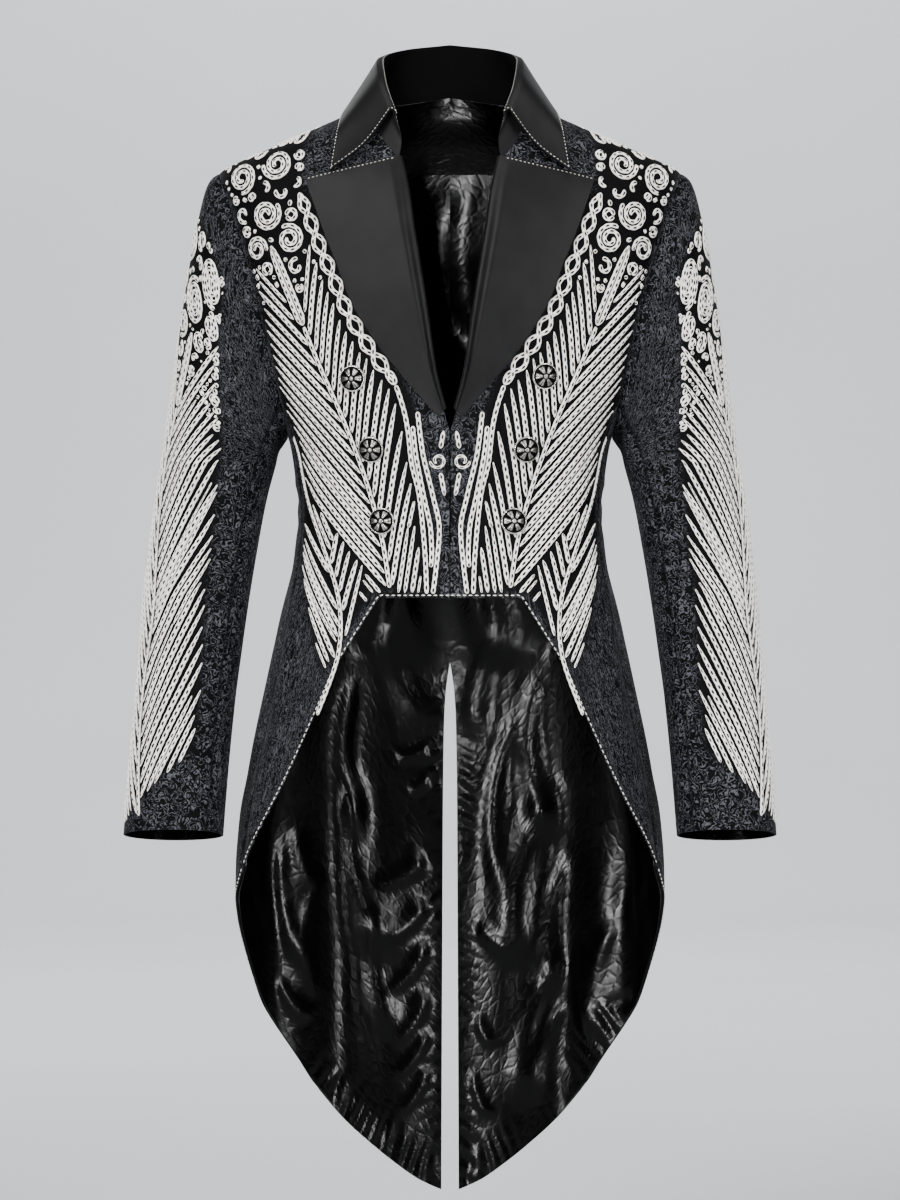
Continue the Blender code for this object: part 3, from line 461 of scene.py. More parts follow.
# place round the neck, x, y, z of the collar's roll, x, y, z of its outer edge, roll's radius
COLLAR = [
    (0.00, 0.0000, 0.0880, 0.0690, 0.0000, 0.0940, 0.0020, 0.0035),
    (0.28, 0.0420, 0.0720, 0.0620, 0.0540, 0.0840, 0.0010, 0.0035),
    (0.52, 0.0660, 0.0160, 0.0465, 0.0975, 0.0080, -0.0030, 0.0038),
    (0.76, 0.0630, -0.0330, 0.0210, 0.1055, -0.0605, -0.0285, 0.0046),
    (1.00, 0.0530, -0.0660, -0.0115, 0.1124, -0.0885, -0.0700, 0.0058),
]
# node, x and height
BUTTONS = [
    ("button_top_right", -0.0890, -0.2640), ("button_middle_right", -0.0720, -0.3290),
    ("button_low_right", -0.0625, -0.3960), ("button_top_left", 0.0865, -0.2620),
    ("button_middle_left", 0.0695, -0.3290), ("button_low_left", 0.0580, -0.3960),
]
# counts of the source's grids, times FINE
FINE = 5
ARM_FRONT, ARM_UNDER, ARM_BACK = 9 * FINE, 6 * FINE, 9 * FINE      # round the armhole
SEAM_ROWS, TAIL_ROWS = 14 * FINE, 7 * FINE      # down the side seam and along the tail
FRONT_COLUMNS, BACK_COLUMNS = 10 * FINE, 9 * FINE
NECK_BACK, NECK_FORE = 6 * FINE, 5 * FINE       # round the neckline, behind and in front
ROLL_ROWS = 14 * FINE                           # along the roll line
HIND, FORE = 17 * FINE, 9 * FINE                # stations of the sleeve's two seams
BACK_LINES, SIDE_LINES = 68, 46                 # columns of the linings
# points that a table's spline is worked out at
ARM_POINTS, HEM_POINTS, TAIL_POINTS = 160, 400, 240
NECK_POINTS, ROLL_POINTS, EDGE_POINTS = 60, 120, 40


# ---------------------------------------------------------------- curves and the figure
def spline(knots, values, at):
    """Cubic through the knots whose slopes are harmonic means, so it never overshoots."""
    x = np.asarray(knots, float)
    y = np.asarray(values, float)
    if x[0] > x[-1]:
        x = x[::-1]
        y = y[::-1]
    step = np.diff(x)
    rise = np.diff(y) / step
    slope = np.empty_like(x)
    slope[0] = rise[0]
    slope[-1] = rise[-1]
    same = rise[1:] * rise[:-1] > 0
    mean = 2.0 * rise[1:] * rise[:-1] / np.where(same, rise[1:] + rise[:-1], 1.0)
    slope[1:-1] = np.where(same, mean, 0.0)
    t = np.clip(np.asarray(at, float), x[0], x[-1])
    i = np.clip(np.searchsorted(x, t) - 1, 0, len(step) - 1)
    u = (t - x[i]) / step[i]
    return ((1 + 2 * u) * (1 - u) ** 2 * y[i] + u * (1 - u) ** 2 * step[i] * slope[i]
            + u * u * (3 - 2 * u) * y[i + 1] - u * u * (1 - u) * step[i] * slope[i + 1])


def half_width(angle, z):
    """Half width at a height: the mean of nine heights near it, closer together at the side."""
    figure = np.array(FIGURE)

    def sharp(height):
        slope = NECK_HALF + (SHOULDER_TIP_X - NECK_HALF) * np.clip(height / SHOULDER_TIP_Z, 0, 1)
        return np.where(height > SHOULDER_TIP_Z, slope, spline(figure[:, 0], figure[:, 1], height))

    away = np.clip(np.abs(angle - 90.0) / 40.0, 0.0, 1.0)
    reach = SHOULDER_SOFT * (0.25 + 0.75 * away * away * (3.0 - 2.0 * away))
    width = 0.0
    for shift in np.linspace(-1.0, 1.0, 9):
        width = width + sharp(z + shift * reach) / 9.0
    return width


def figure_point(angle, z):
    """Superellipse section: x is half width times sin^(2/p), y is depth times cos^(2/p).

    The depth changes from front to back at the side, and both swell in flutes on the tails.
    """
    angle = np.asarray(angle, float)
    z = np.asarray(z, float)
    figure = np.array(FIGURE)
    knots = np.concatenate([[0.05, 0.0, -0.03], figure[:, 0]])
    front = spline(knots, np.concatenate([[0.055, 0.057, 0.070], figure[:, 2]]), z)
    back = spline(knots, np.concatenate([[0.068, 0.072, 0.084], figure[:, 3]]), z)
    turn = np.radians(angle)
    across = np.abs(np.sin(turn)) ** (2.0 / POWER)
    deep = np.abs(np.cos(turn)) ** (2.0 / POWER)
    y = np.where(angle < 90.0, -front * deep, back * deep)
    x = half_width(angle, z) * across
    low = np.clip((-0.54 - z) / 0.28, 0.0, 1.0)
    behind = np.clip((angle - 98.0) / 30.0, 0.0, 1.0)
    wave = np.sin(np.radians((angle - 143.5) * 360.0 / FLUTE_TURN))
    swell = FLUTE_DEPTH / 0.127 * wave * low * low * (3.0 - 2.0 * low) * behind
    return np.stack([x * (1.0 + 0.3 * swell), y * (1.0 + swell), z + 0.0 * across], axis=-1)


def figure_normal(angle, z):
    """Outward normal: the cross product of a small step down and a small step round."""
    angle = np.asarray(angle, float)
    step = np.where(angle > 90.0, -0.4, 0.4)
    round_ = (figure_point(angle + step, z) - figure_point(angle, z)) * np.sign(step)[..., None]
    down = figure_point(angle, z - 0.003) - figure_point(angle, z + 0.003)
    normal = np.cross(down, round_)
    return normal / np.linalg.norm(normal, axis=-1, keepdims=True)


def angle_at(x, z, side):
    """Angle at which the figure has this x: in front for side -1, behind for +1."""
    angle = np.full(np.shape(x), 60.0)
    for _ in range(12):
        ratio = np.clip(np.asarray(x) / half_width(angle, z), 0.0, 1.0)
        angle = np.degrees(np.arcsin(ratio ** (POWER / 2.0)))
    return np.where(np.asarray(side) > 0, 180.0 - angle, angle)


def reach_along(points):
    """Running length of a polyline."""
    return np.concatenate([[0.0], np.cumsum(np.linalg.norm(np.diff(points, axis=0), axis=-1))])


def resample(track, counts, corners):
    """Points of a track of (angle, z) at equal steps in space, a count of them between corners."""
    track = np.asarray(track, float)
    out = [track[:1]]
    for count, (first, last) in zip(counts, zip(corners[:-1], corners[1:])):
        part = track[first:last + 1]
        along = reach_along(figure_point(part[:, 0], part[:, 1]))
        t = np.linspace(0.0, along[-1], count + 1)[1:]
        out.append(np.stack([np.interp(t, along, part[:, c]) for c in (0, 1)], axis=1))
    return np.concatenate(out)


def fill(top, bottom, left, right, fade=1.0):
    """Straight lines between the two sides, plus the bends of top and bottom fading away."""
    u = np.linspace(0.0, 1.0, len(top))[None, :, None]
    v = np.linspace(0.0, 1.0, len(left))[:, None, None]
    rows = (1 - u) * left[:, None] + u * right[:, None]
    bend_top = top[None] - ((1 - u) * top[0] + u * top[-1])
    bend_bottom = bottom[None] - ((1 - u) * bottom[0] + u * bottom[-1])
    return rows + (1 - v) ** fade * bend_top + v ** fade * bend_bottom


def dense(table, columns, count=ARM_POINTS):
    """A table's columns run through the spline, one row per point."""
    rows = np.array(table, float)
    knots = np.linspace(0.0, 1.0, len(rows))
    t = np.linspace(0.0, 1.0, count)
    return np.stack([spline(knots, rows[:, c], t) for c in columns], axis=1)


def lookup(table, row, column):
    """Value between the four nearest cells of a table, at a place counted in rows and columns."""
    r = np.clip(row, 0.0, table.shape[0] - 1.001)
    c = np.clip(column, 0.0, table.shape[1] - 1.001)
    i = r.astype(int)
    j = c.astype(int)
    u = (r - i).reshape(r.shape + (1,) * (table.ndim - 2))
    v = (c - j).reshape(r.shape + (1,) * (table.ndim - 2))
    return ((1 - u) * ((1 - v) * table[i, j] + v * table[i, j + 1])
            + u * ((1 - v) * table[i + 1, j] + v * table[i + 1, j + 1]))


# ---------------------------------------------------------------- seams and panels
arm_rows = np.array(ARMHOLE)
arm_fore = dense(np.stack([arm_rows[:, 1], arm_rows[:, 0]], 1), (0, 1))
arm_hind = dense(np.stack([arm_rows[:, 2], arm_rows[:, 0]], 1), (0, 1))
arm_track = np.concatenate([arm_fore, arm_hind[::-1][1:]])
# the front seam starts where the armhole's lower front crosses its angle
too_high = arm_track[:ARM_POINTS, 1] > -0.25
front_joint = int(np.argmin(np.abs(arm_track[:ARM_POINTS, 0] - FRONT_SEAM) + 100 * too_high))
back_joint = ARM_POINTS + int(np.argmin(np.abs(arm_track[ARM_POINTS:, 1] - BACK_SEAM[0][0])))
armhole = resample(arm_track, (ARM_FRONT, ARM_UNDER, ARM_BACK),
                   (0, front_joint, back_joint, len(arm_track) - 1))


def back_seam_angle(z):
    """Angle of the seam between side and back at a height, by the spline of its table."""
    rows = np.array(BACK_SEAM)
    return spline(rows[:, 0], rows[:, 1], z)


hem_rows = np.array(HEM)
hem_map = np.stack([angle_at(hem_rows[:, 0], hem_rows[:, 1], hem_rows[:, 2]), hem_rows[:, 1]], 1)
hem_track = dense(hem_map, (0, 1), HEM_POINTS)
hem_front = int(np.argmin(np.abs(hem_track[:, 0] - FRONT_SEAM)))
hem_back = int(np.argmin(np.abs(hem_track[:, 0] - back_seam_angle(hem_track[:, 1]))))
seam_top = armhole[ARM_FRONT]
seam_end = hem_track[hem_front]
side_front = np.linspace(seam_top, seam_end, SEAM_ROWS + 1)
tail_z = np.linspace(armhole[ARM_FRONT + ARM_UNDER][1], hem_track[hem_back][1], TAIL_POINTS)
tail_track = np.stack([back_seam_angle(tail_z), tail_z], 1)
tail_track[0] = armhole[ARM_FRONT + ARM_UNDER]
tail_track[-1] = hem_track[hem_back]
side_back = resample(tail_track, (SEAM_ROWS + TAIL_ROWS,), (0, TAIL_POINTS - 1))


def front_map():
    """(angle, z) grid of the front from neck, roll line and centre edge to armhole and seam."""
    neck = dense(NECK_FRONT, (0, 1), NECK_POINTS)
    roll = dense(ROLL_LINE, (0, 1), ROLL_POINTS)
    neck = np.stack([angle_at(neck[:, 0], neck[:, 1], -1), neck[:, 1]], 1)
    neck[0] = (90.0, 0.0)
    roll = np.stack([angle_at(roll[:, 0], roll[:, 1], -1), roll[:, 1]], 1)
    hem_z = HEM[0][1]
    centre_z = np.linspace(ROLL_LINE[-1][1], hem_z, EDGE_POINTS)[1:]
    centre_x = np.full(EDGE_POINTS - 1, CENTRE_HALF)
    centre = np.stack([angle_at(centre_x, centre_z, -1), centre_z], 1)
    edge = np.concatenate([neck, roll[1:], centre])
    rows = ARM_FRONT + SEAM_ROWS
    corners = (0, NECK_POINTS - 1, NECK_POINTS + ROLL_POINTS - 2, len(edge) - 1)
    left = resample(edge, (NECK_FORE, ROLL_ROWS, rows - NECK_FORE - ROLL_ROWS), corners)
    shoulder_z = np.linspace(0.0, SHOULDER_TIP_Z, FRONT_COLUMNS + 1)
    top = np.stack([np.full(FRONT_COLUMNS + 1, 90.0), shoulder_z], 1)
    waist_x = np.linspace(CENTRE_HALF, HEM[0][0], EDGE_POINTS)
    waist_z = np.full(EDGE_POINTS, hem_z)
    waist = np.stack([angle_at(waist_x, waist_z, -1), waist_z], 1)
    lower = np.concatenate([waist, hem_track[1:hem_front + 1]])
    bottom = resample(lower, (3 * FINE, FRONT_COLUMNS - 3 * FINE),
                      (0, EDGE_POINTS - 1, len(lower) - 1))
    right = np.concatenate([armhole[:ARM_FRONT + 1], side_front[1:]])
    return fill(top, bottom, left, right)


def side_map():
    """(angle, z) grid of the side piece from the armhole's foot to the cut-away's curve."""
    foot = hem_back - 5         # the left edge ends here, and a short bottom edge goes on from it
    tail = resample(hem_track[hem_front:foot + 1], (TAIL_ROWS,), (0, foot - hem_front))
    left = np.concatenate([side_front, tail[1:]])
    top = armhole[ARM_FRONT:ARM_FRONT + ARM_UNDER + 1]
    bottom = np.linspace(left[-1], side_back[-1], ARM_UNDER + 1)
    return fill(top, bottom, left, side_back)


def back_map():
    """(angle, z) grid of the back from the side seam to the centre back and its vent."""
    rows = ARM_BACK + SEAM_ROWS + TAIL_ROWS
    left = np.concatenate([armhole[::-1][:ARM_BACK + 1], side_back[1:]])
    seam = BACK_COLUMNS - NECK_BACK + 1
    shoulder = np.stack([np.full(seam, 90.0), np.linspace(SHOULDER_TIP_Z, 0.0, seam)], 1)
    turn = np.linspace(90.0, 180.0, NECK_BACK + 1)
    neck = np.stack([turn, NAPE_RISE * ((turn - 90.0) / 90.0) ** 1.5], 1)
    top = np.concatenate([shoulder, neck[1:]])
    vent = np.array(VENT)
    z = np.linspace(NAPE_RISE, HEM[-1][1], rows + 1)
    gap = np.where(z > vent[0, 0], 0.0, spline(vent[:, 0], vent[:, 1], z))
    right = np.stack([angle_at(gap, z, 1), z], 1)
    bottom = resample(hem_track[hem_back:], (BACK_COLUMNS,), (0, len(hem_track) - 1 - hem_back))
    top[-1] = right[0]
    bottom[-1] = right[-1]
    return fill(top, bottom, left, right, 5.0)


# soft troughs (depth below 0) and ridges of the body: angle and height of both ends, the
# width and the depth in metres; the back's are like the front's but hidden in the photo
BODY_FOLDS = [
    (79, -0.318, 60, -0.372, 0.009, -0.0011), (84, -0.330, 66, -0.398, 0.008, 0.0009),
    (100, -0.372, 78, -0.384, 0.007, -0.0014), (97, -0.398, 74, -0.409, 0.008, -0.0011),
    (108, -0.350, 92, -0.362, 0.006, 0.0012), (70, -0.470, 66, -0.640, 0.014, 0.0015),
    (82, -0.450, 80, -0.660, 0.012, -0.0016), (94, -0.440, 93, -0.700, 0.015, 0.0024),
    (106, -0.480, 105, -0.740, 0.013, -0.0024), (113, -0.150, 119, -0.290, 0.011, 0.0032),
    (121, -0.170, 124, -0.330, 0.010, -0.0027), (128, -0.240, 136, -0.345, 0.009, 0.0022),
    (150, -0.372, 176, -0.380, 0.009, -0.0027), (146, -0.398, 169, -0.410, 0.007, 0.0021),
    (143, -0.355, 160, -0.350, 0.008, 0.0021), (160, -0.090, 172, -0.190, 0.016, 0.0020),
    (133, -0.430, 150, -0.520, 0.012, 0.0024), (168, -0.430, 163, -0.530, 0.011, -0.0022),
    (100, -0.620, 112, -0.760, 0.010, 0.0020), (126, -0.600, 127, -0.780, 0.014, 0.0028),
]


def fold_height(u, v, folds, scale=1.0):
    """Sum over the folds of depth times a bell of the distance from the fold's line.

    The line bows aside by a sine. The bell's width and depth grow by half and more towards
    the fold's far end, and its depth fades out at both ends over a third of the line. scale
    turns a unit of u into metres.
    """
    total = np.zeros(np.broadcast(u, v).shape)
    for u0, v0, u1, v1, width, depth in folds:
        ax = (u - u0) * scale
        ay = v - v0
        bx = (u1 - u0) * scale
        by = v1 - v0
        length = math.hypot(bx, by)
        t = (ax * bx + ay * by) / (length * length)
        off = (ax * by - ay * bx) / length
        off = off - 0.08 * length * np.sin(np.pi * np.clip(t, 0.0, 1.0))
        fade = np.clip(t / 0.3 + 0.35, 0, 1) * np.clip((1 - t) / 0.3 + 0.35, 0, 1)
        fade = fade * fade * (3.0 - 2.0 * fade)
        spread = 0.8 + 0.5 * np.clip(t, 0, 1)
        total = total + depth * spread * fade * np.exp(-(off / (width * spread)) ** 2)
    return total


def cloth_point(angle, z, height=0.0):
    """Figure's point moved along its normal by the body's folds and a height."""
    lift = fold_height(angle, z, BODY_FOLDS, BODY_DEGREE) + height
    return figure_point(angle, z) + figure_normal(angle, z) * np.asarray(lift)[..., None]


def tuck(grid, edges, depth):
    """Presses the named edges of a panel in along its normals, which draws the seam's groove."""
    normal = grid_normals(grid)
    grid = grid.copy()
    share = np.zeros(grid.shape[:2])
    for edge in edges:
        index = {"top": (0, slice(None)), "bottom": (-1, slice(None)),
                 "left": (slice(None), 0), "right": (slice(None), -1)}[edge]
        share[index] = 1.0
    return grid - normal * (share * depth)[..., None]


def grid_normals(grid):
    """Mean of the normals of the faces round each point of a grid."""
    face = np.cross(grid[1:, 1:] - grid[:-1, :-1], grid[:-1, 1:] - grid[1:, :-1])
    face /= np.maximum(np.linalg.norm(face, axis=-1, keepdims=True), 1e-12)
    total = np.zeros_like(grid)
    total[:-1, :-1] += face
    total[1:, :-1] += face
    total[:-1, 1:] += face
    total[1:, 1:] += face
    return total / np.maximum(np.linalg.norm(total, axis=-1, keepdims=True), 1e-12)


# ---------------------------------------------------------------- meshes
def grid_faces(rows, columns, closed=False):
    """Quads between neighbouring rows and columns; closed joins the last column to the first."""
    index = np.arange(rows * columns).reshape(rows, columns)
    if closed:
        index = np.concatenate([index, index[:, :1]], axis=1)
    quads = np.stack([index[:-1, :-1], index[1:, :-1], index[1:, 1:], index[:-1, 1:]], -1)
    return quads.reshape(-1, 4)


def build(name, points, faces, uv, uv_name, stuff):
    """Mesh object from arrays of points, quads and one UV per point."""
    mesh = bpy.data.meshes.new(name)
    mesh.from_pydata(points.reshape(-1, 3).tolist(), [], faces.tolist())
    layer = mesh.uv_layers.new(name=uv_name)
    corner = np.empty(len(mesh.loops), int)
    mesh.loops.foreach_get("vertex_index", corner)
    layer.data.foreach_set("uv", uv.reshape(-1, 2)[corner].ravel())
    mesh.materials.append(stuff)
    mesh.shade_smooth()
    made = bpy.data.objects.new(name, mesh)
    bpy.context.scene.collection.objects.link(made)
    return made


def metre_map(grid):
    """UV in metres: the running length along each row from its middle, and down the grid."""
    steps = np.linalg.norm(np.diff(grid, axis=1), axis=-1)
    u = np.concatenate([np.zeros((len(grid), 1)), np.cumsum(steps, axis=1)], axis=1)
    u -= u[:, u.shape[1] // 2][:, None]
    middle = grid[:, grid.shape[1] // 2]
    v = np.broadcast_to(-reach_along(middle)[:, None], u.shape)
    return np.stack([u, v], -1)


def walled(points, wall):
    """Closed shell of a grid: half a wall out and half in along its normals, and a rim."""
    rows, columns = points.shape[:2]
    normal = grid_normals(points)
    index = np.arange(rows * columns).reshape(rows, columns)
    outer = grid_faces(rows, columns)
    inner = outer[:, ::-1] + rows * columns
    loop = np.concatenate([index[0, :-1], index[:-1, -1], index[-1, :0:-1], index[:0:-1, 0]])
    after = np.roll(loop, -1)
    rim = np.stack([loop, after, after + rows * columns, loop + rows * columns], -1)
    both = np.stack([points + 0.5 * wall * normal, points - 0.5 * wall * normal])
    return both, np.concatenate([outer, inner, rim])


def cloth(name, node_name, grid, wall, stuff, mirrored=False, inside=None):
    """One cut piece: the grid with a wall centred on it.

    The cut is as wide as the longest row and as long as the longest column, laid flat. The
    The inner face is that of the stuff named inside.
    """
    uv = metre_map(grid)
    points = grid.copy()
    if mirrored:
        points[..., 0] *= -1.0
        points = points[:, ::-1]
        uv = uv[:, ::-1].copy()
        uv[..., 0] = -uv[..., 0] + MIRROR_SHIFT
    both, faces = walled(points, wall)
    made = build(name, both, faces, np.stack([uv, uv]), "metres", stuff)
    made.data.set_sharp_from_angle(angle=math.radians(48.0))
    if inside:
        made.data.materials.append(inside)
        side = (grid.shape[0] - 1) * (grid.shape[1] - 1)
        share = np.zeros(len(faces), int)
        share[side:2 * side] = 1
        made.data.polygons.foreach_set("material_index", share)
    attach(made, "root")
    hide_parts(node_name)
    return made


front_plan = front_map()
side_plan = side_map()
back_plan = back_map()
front_grid = cloth_point(front_plan[..., 0], front_plan[..., 1])
side_grid = cloth_point(side_plan[..., 0], side_plan[..., 1])
back_grid = cloth_point(back_plan[..., 0], back_plan[..., 1])

PANELS = (("front", front_grid, ("top", "right")), ("side", side_grid, ("left", "right")),
          ("back", back_grid, ("top", "left", "right")))
for label, mirrored in SIDES:
    for part, grid, seams in PANELS:
        cloth(part + "_cloth_" + label, part + "_" + label, tuck(grid, seams, PRESSED), CLOTH,
              CLOTH_STUFF, mirrored, SATIN_STUFF)


# ---------------------------------------------------------------- sleeves
# place round the arm (0 outside, 90 front, 180 inside) and down it of both ends, the width
# and the depth: crosswise drags at the elbow and the bend, longer ones below the sleeve head
SLEEVE_FOLDS = [
    (150, -0.395, 70, -0.420, 0.008, -0.0016), (165, -0.425, 95, -0.436, 0.007, -0.0014),
    (130, -0.455, 60, -0.470, 0.009, 0.0012), (172, -0.372, 118, -0.352, 0.008, -0.0016),
    (240, -0.400, 300, -0.372, 0.010, 0.0017), (232, -0.438, 290, -0.446, 0.008, -0.0016),
    (250, -0.480, 310, -0.470, 0.009, 0.0013), (200, -0.350, 255, -0.330, 0.009, -0.0018),
    (118, -0.300, 96, -0.210, 0.010, -0.0016), (140, -0.330, 122, -0.245, 0.009, 0.0015),
    (262, -0.300, 280, -0.190, 0.011, 0.0018), (292, -0.280, 305, -0.180, 0.009, -0.0013),
    (100, -0.610, 150, -0.650, 0.009, 0.0010), (230, -0.590, 262, -0.640, 0.010, -0.0012),
]


HEAD_ROWS, ARM_ROWS = 48, 80        # rings from the sleeve head to the upper arm, and to the cuff
EVEN_ROWS, EVEN_ROUNDS = 15, 14     # rings below the armhole that are evened out, and how often


def sleeve_grid():
    """Rings from the armhole to the cuff, one point for each station of the armhole.

    The first rings stand out of the armhole by the sleeve head's reach; a Hermite curve
    carries each station from there to the upper arm, and ellipses go on to the cuff.
    """
    ring = figure_point(armhole[:-1, 0], armhole[:-1, 1])
    stations = len(ring)
    turn = np.radians(np.arange(stations) * 360.0 / stations)
    top = 0.5 + 0.5 * np.cos(turn)
    tangent = np.roll(ring, -1, axis=0) - np.roll(ring, 1, axis=0)
    normal = figure_normal(armhole[:-1, 0], armhole[:-1, 1])
    into = np.cross(tangent, normal)
    into /= np.linalg.norm(into, axis=1, keepdims=True)
    into *= np.sign((into * (ring.mean(axis=0) - ring)).sum(axis=1, keepdims=True))
    radial = ring - ring.mean(axis=0)
    radial[:, 0] = 0.0
    radial /= np.linalg.norm(radial, axis=1, keepdims=True)
    under = np.clip((0.42 - top) / 0.42, 0.0, 1.0)[:, None]
    under = under * under * (3.0 - 2.0 * under)
    out = np.array([1.0, 0.0, 0.0]) * (0.75 + 0.25 * top)[:, None]
    out = out + radial * (0.10 + 0.22 * top)[:, None]
    out = out * (1.0 - under) + np.array([0.45, -0.05, -0.90]) * under
    out /= np.linalg.norm(out, axis=1, keepdims=True)
    reach = 0.005 + (SLEEVE_HEAD - 0.005) * top ** 0.8
    seated = ring + normal * (CLOTH + SEAM) * under
    start = seated - normal * 0.0012 * (1.0 - under)
    head = seated + into * (SEAM + 0.0006) + out * reach[:, None]
    head = head + np.array([0.0, 0.0, -1.0]) * (0.0002 + 0.002 * top)[:, None]
    arm = np.array(ARM)

    def section(z):
        cx, cy, rx, ry = (spline(arm[:, 0], arm[:, c], z) for c in range(1, 5))
        return np.stack([cx + rx * np.cos(turn), cy - ry * np.sin(turn), z + 0.0 * turn], 1)

    upper = section(ARM[0][0])
    leave = np.array([0.16, -0.07, -0.98])
    chord = upper - head
    length = np.linalg.norm(chord, axis=1, keepdims=True)
    start_way = chord / length + np.array([0.10, 0.0, 0.0]) * top[:, None]
    rows = [start + (head - start) * s for s in (0.0, 0.25, 0.5, 0.75, 1.0)]
    for s in np.linspace(0.0, 1.0, HEAD_ROWS + 1)[1:]:
        rows.append((1 + 2 * s) * (1 - s) ** 2 * head + s * (1 - s) ** 2 * length * start_way
                    + s * s * (3 - 2 * s) * upper - s * s * (1 - s) * length * leave)
    for z in np.linspace(ARM[0][0], ARM[-1][0], ARM_ROWS + 1)[1:]:
        points = section(z)
        share = (z - ARM[0][0]) / (ARM[-1][0] - ARM[0][0])
        points[:, 2] -= CUFF_TILT * share * (points[:, 1] - ARM[-1][2])
        rows.append(points)
    grid = np.stack(rows)
    for _ in range(EVEN_ROUNDS):
        beside = grid[:EVEN_ROWS - 1] + grid[2:EVEN_ROWS + 1]
        grid[1:EVEN_ROWS] = 0.5 * grid[1:EVEN_ROWS] + 0.25 * beside
    loop = np.concatenate([grid, grid[:, :1]], axis=1)
    outward = -grid_normals(loop)
    outward[:, 0] = outward[:, -1] = outward[:, 0] + outward[:, -1]
    outward /= np.linalg.norm(outward, axis=-1, keepdims=True)
    angle = np.degrees(turn)[None, :]
    lift = fold_height(angle, grid[..., 2], SLEEVE_FOLDS, ARM_DEGREE)
    return grid + outward[:, :-1] * lift[..., None], outward[:, :-1]


sleeve, sleeve_out = sleeve_grid()
top_sleeve = np.concatenate([sleeve[:, HIND:], sleeve[:, :FORE + 1]], axis=1)[:, ::-1]
under_sleeve = sleeve[:, FORE:HIND + 1][:, ::-1]
for label, mirrored in SIDES:
    for part, grid in (("topsleeve", top_sleeve), ("undersleeve", under_sleeve)):
        cloth(part + "_cloth_" + label, part + "_" + label,
              tuck(grid, ("left", "right"), SLEEVE_PRESSED), CLOTH, CLOTH_STUFF,
              mirrored, SATIN_STUFF)


# ---------------------------------------------------------------- collar and lapels
def neckline():
    """The panels' own points round the neck, from the centre back to the lapel."""
    back = back_grid[0, ::-1][:NECK_BACK + 1].copy()
    back[0, 0] = 0.0
    return np.concatenate([back, front_grid[1:NECK_FORE + 1, 0]])


STAND_STEPS, ROLL_STEPS, FALL_STEPS = 12, 20, 14       # columns of each part of the collar
ROLL_TOP = 19                                           # its columns up to the top of the roll


def collar_grid():
    """Sections of stand, roll and fall set round the neckline.

    Nine control points make each section: up the stand, over the roll's half circle and
    down the fall; the spline runs through them.
    """
    table = np.array(COLLAR)
    seat = neckline()
    reach = reach_along(seat)
    share = np.concatenate([-reach[:0:-1], reach]) / reach[-1]
    seat = np.concatenate([seat[:0:-1], seat])
    s = np.abs(share)
    value = [spline(table[:, 0], table[:, c], s) for c in range(1, 8)]
    roll = np.stack(value[0:3], 1)
    edge = np.stack(value[3:6], 1)
    radius = value[6][:, None]
    up = roll - 0.5 * (seat + edge)
    up /= np.linalg.norm(up, axis=1, keepdims=True)
    way = edge - seat
    way -= (way * up).sum(axis=1, keepdims=True) * up
    way /= np.linalg.norm(way, axis=1, keepdims=True)
    lean = 0.0045 * s[:, None] ** 2
    swell = np.array(COLLAR_SWELL) * np.clip((s[:, None] - 0.76) / 0.24, 0.0, 1.0) ** 2
    points = [
        seat,
        seat + (roll - seat) * 0.45 - way * (0.0010 + lean),
        roll - up * radius - way * radius * 0.95,
        roll - up * radius * 0.28 - way * radius * 0.62,
        roll,
        roll - up * radius * 0.28 + way * radius * 0.62,
        roll - up * radius + way * radius * 0.95 + swell * 0.35,
        roll + (edge - roll) * 0.52 + way * 0.0020 + swell,
        edge,
    ]
    profile = np.stack(points, axis=1)
    t = np.concatenate([np.linspace(0.0, 2.0, STAND_STEPS + 1),
                        np.linspace(2.0, 6.0, ROLL_STEPS + 1)[1:],
                        np.linspace(6.0, 8.0, FALL_STEPS + 1)[1:]])
    i = np.clip(np.floor(t).astype(int), 0, 7)
    u = (t - i)[None, :, None]
    before = profile[:, np.clip(i - 1, 0, 8)]
    first = profile[:, i]
    second = profile[:, i + 1]
    after = profile[:, np.clip(i + 2, 0, 8)]
    grid = 0.5 * (2 * first + (second - before) * u
                  + (2 * before - 5 * first + 4 * second - after) * u * u
                  + (3 * first - before - 3 * second + after) * u ** 3)
    grid[share < 0, :, 0] *= -1.0
    return grid


collar = collar_grid()
made = cloth("collar_cloth", "collar", collar, CLOTH, FAILLE_STUFF)
# the stand's side to the neck is painted near black: painted shade where its faille lies in deep
# shadow
made.data.materials.append(STAND_PAINTED_SHADE_STUFF)
sides = made.data.polygons
share = np.zeros(len(sides), int)
one = (collar.shape[0] - 1) * (collar.shape[1] - 1)
column = np.tile(np.arange(collar.shape[1] - 1), collar.shape[0] - 1)
neck_side = int(float(grid_normals(collar)[len(collar) // 2, 4, 1]) > 0.0)
share[neck_side * one:(neck_side + 1) * one] = column < ROLL_TOP
sides.foreach_set("material_index", share)


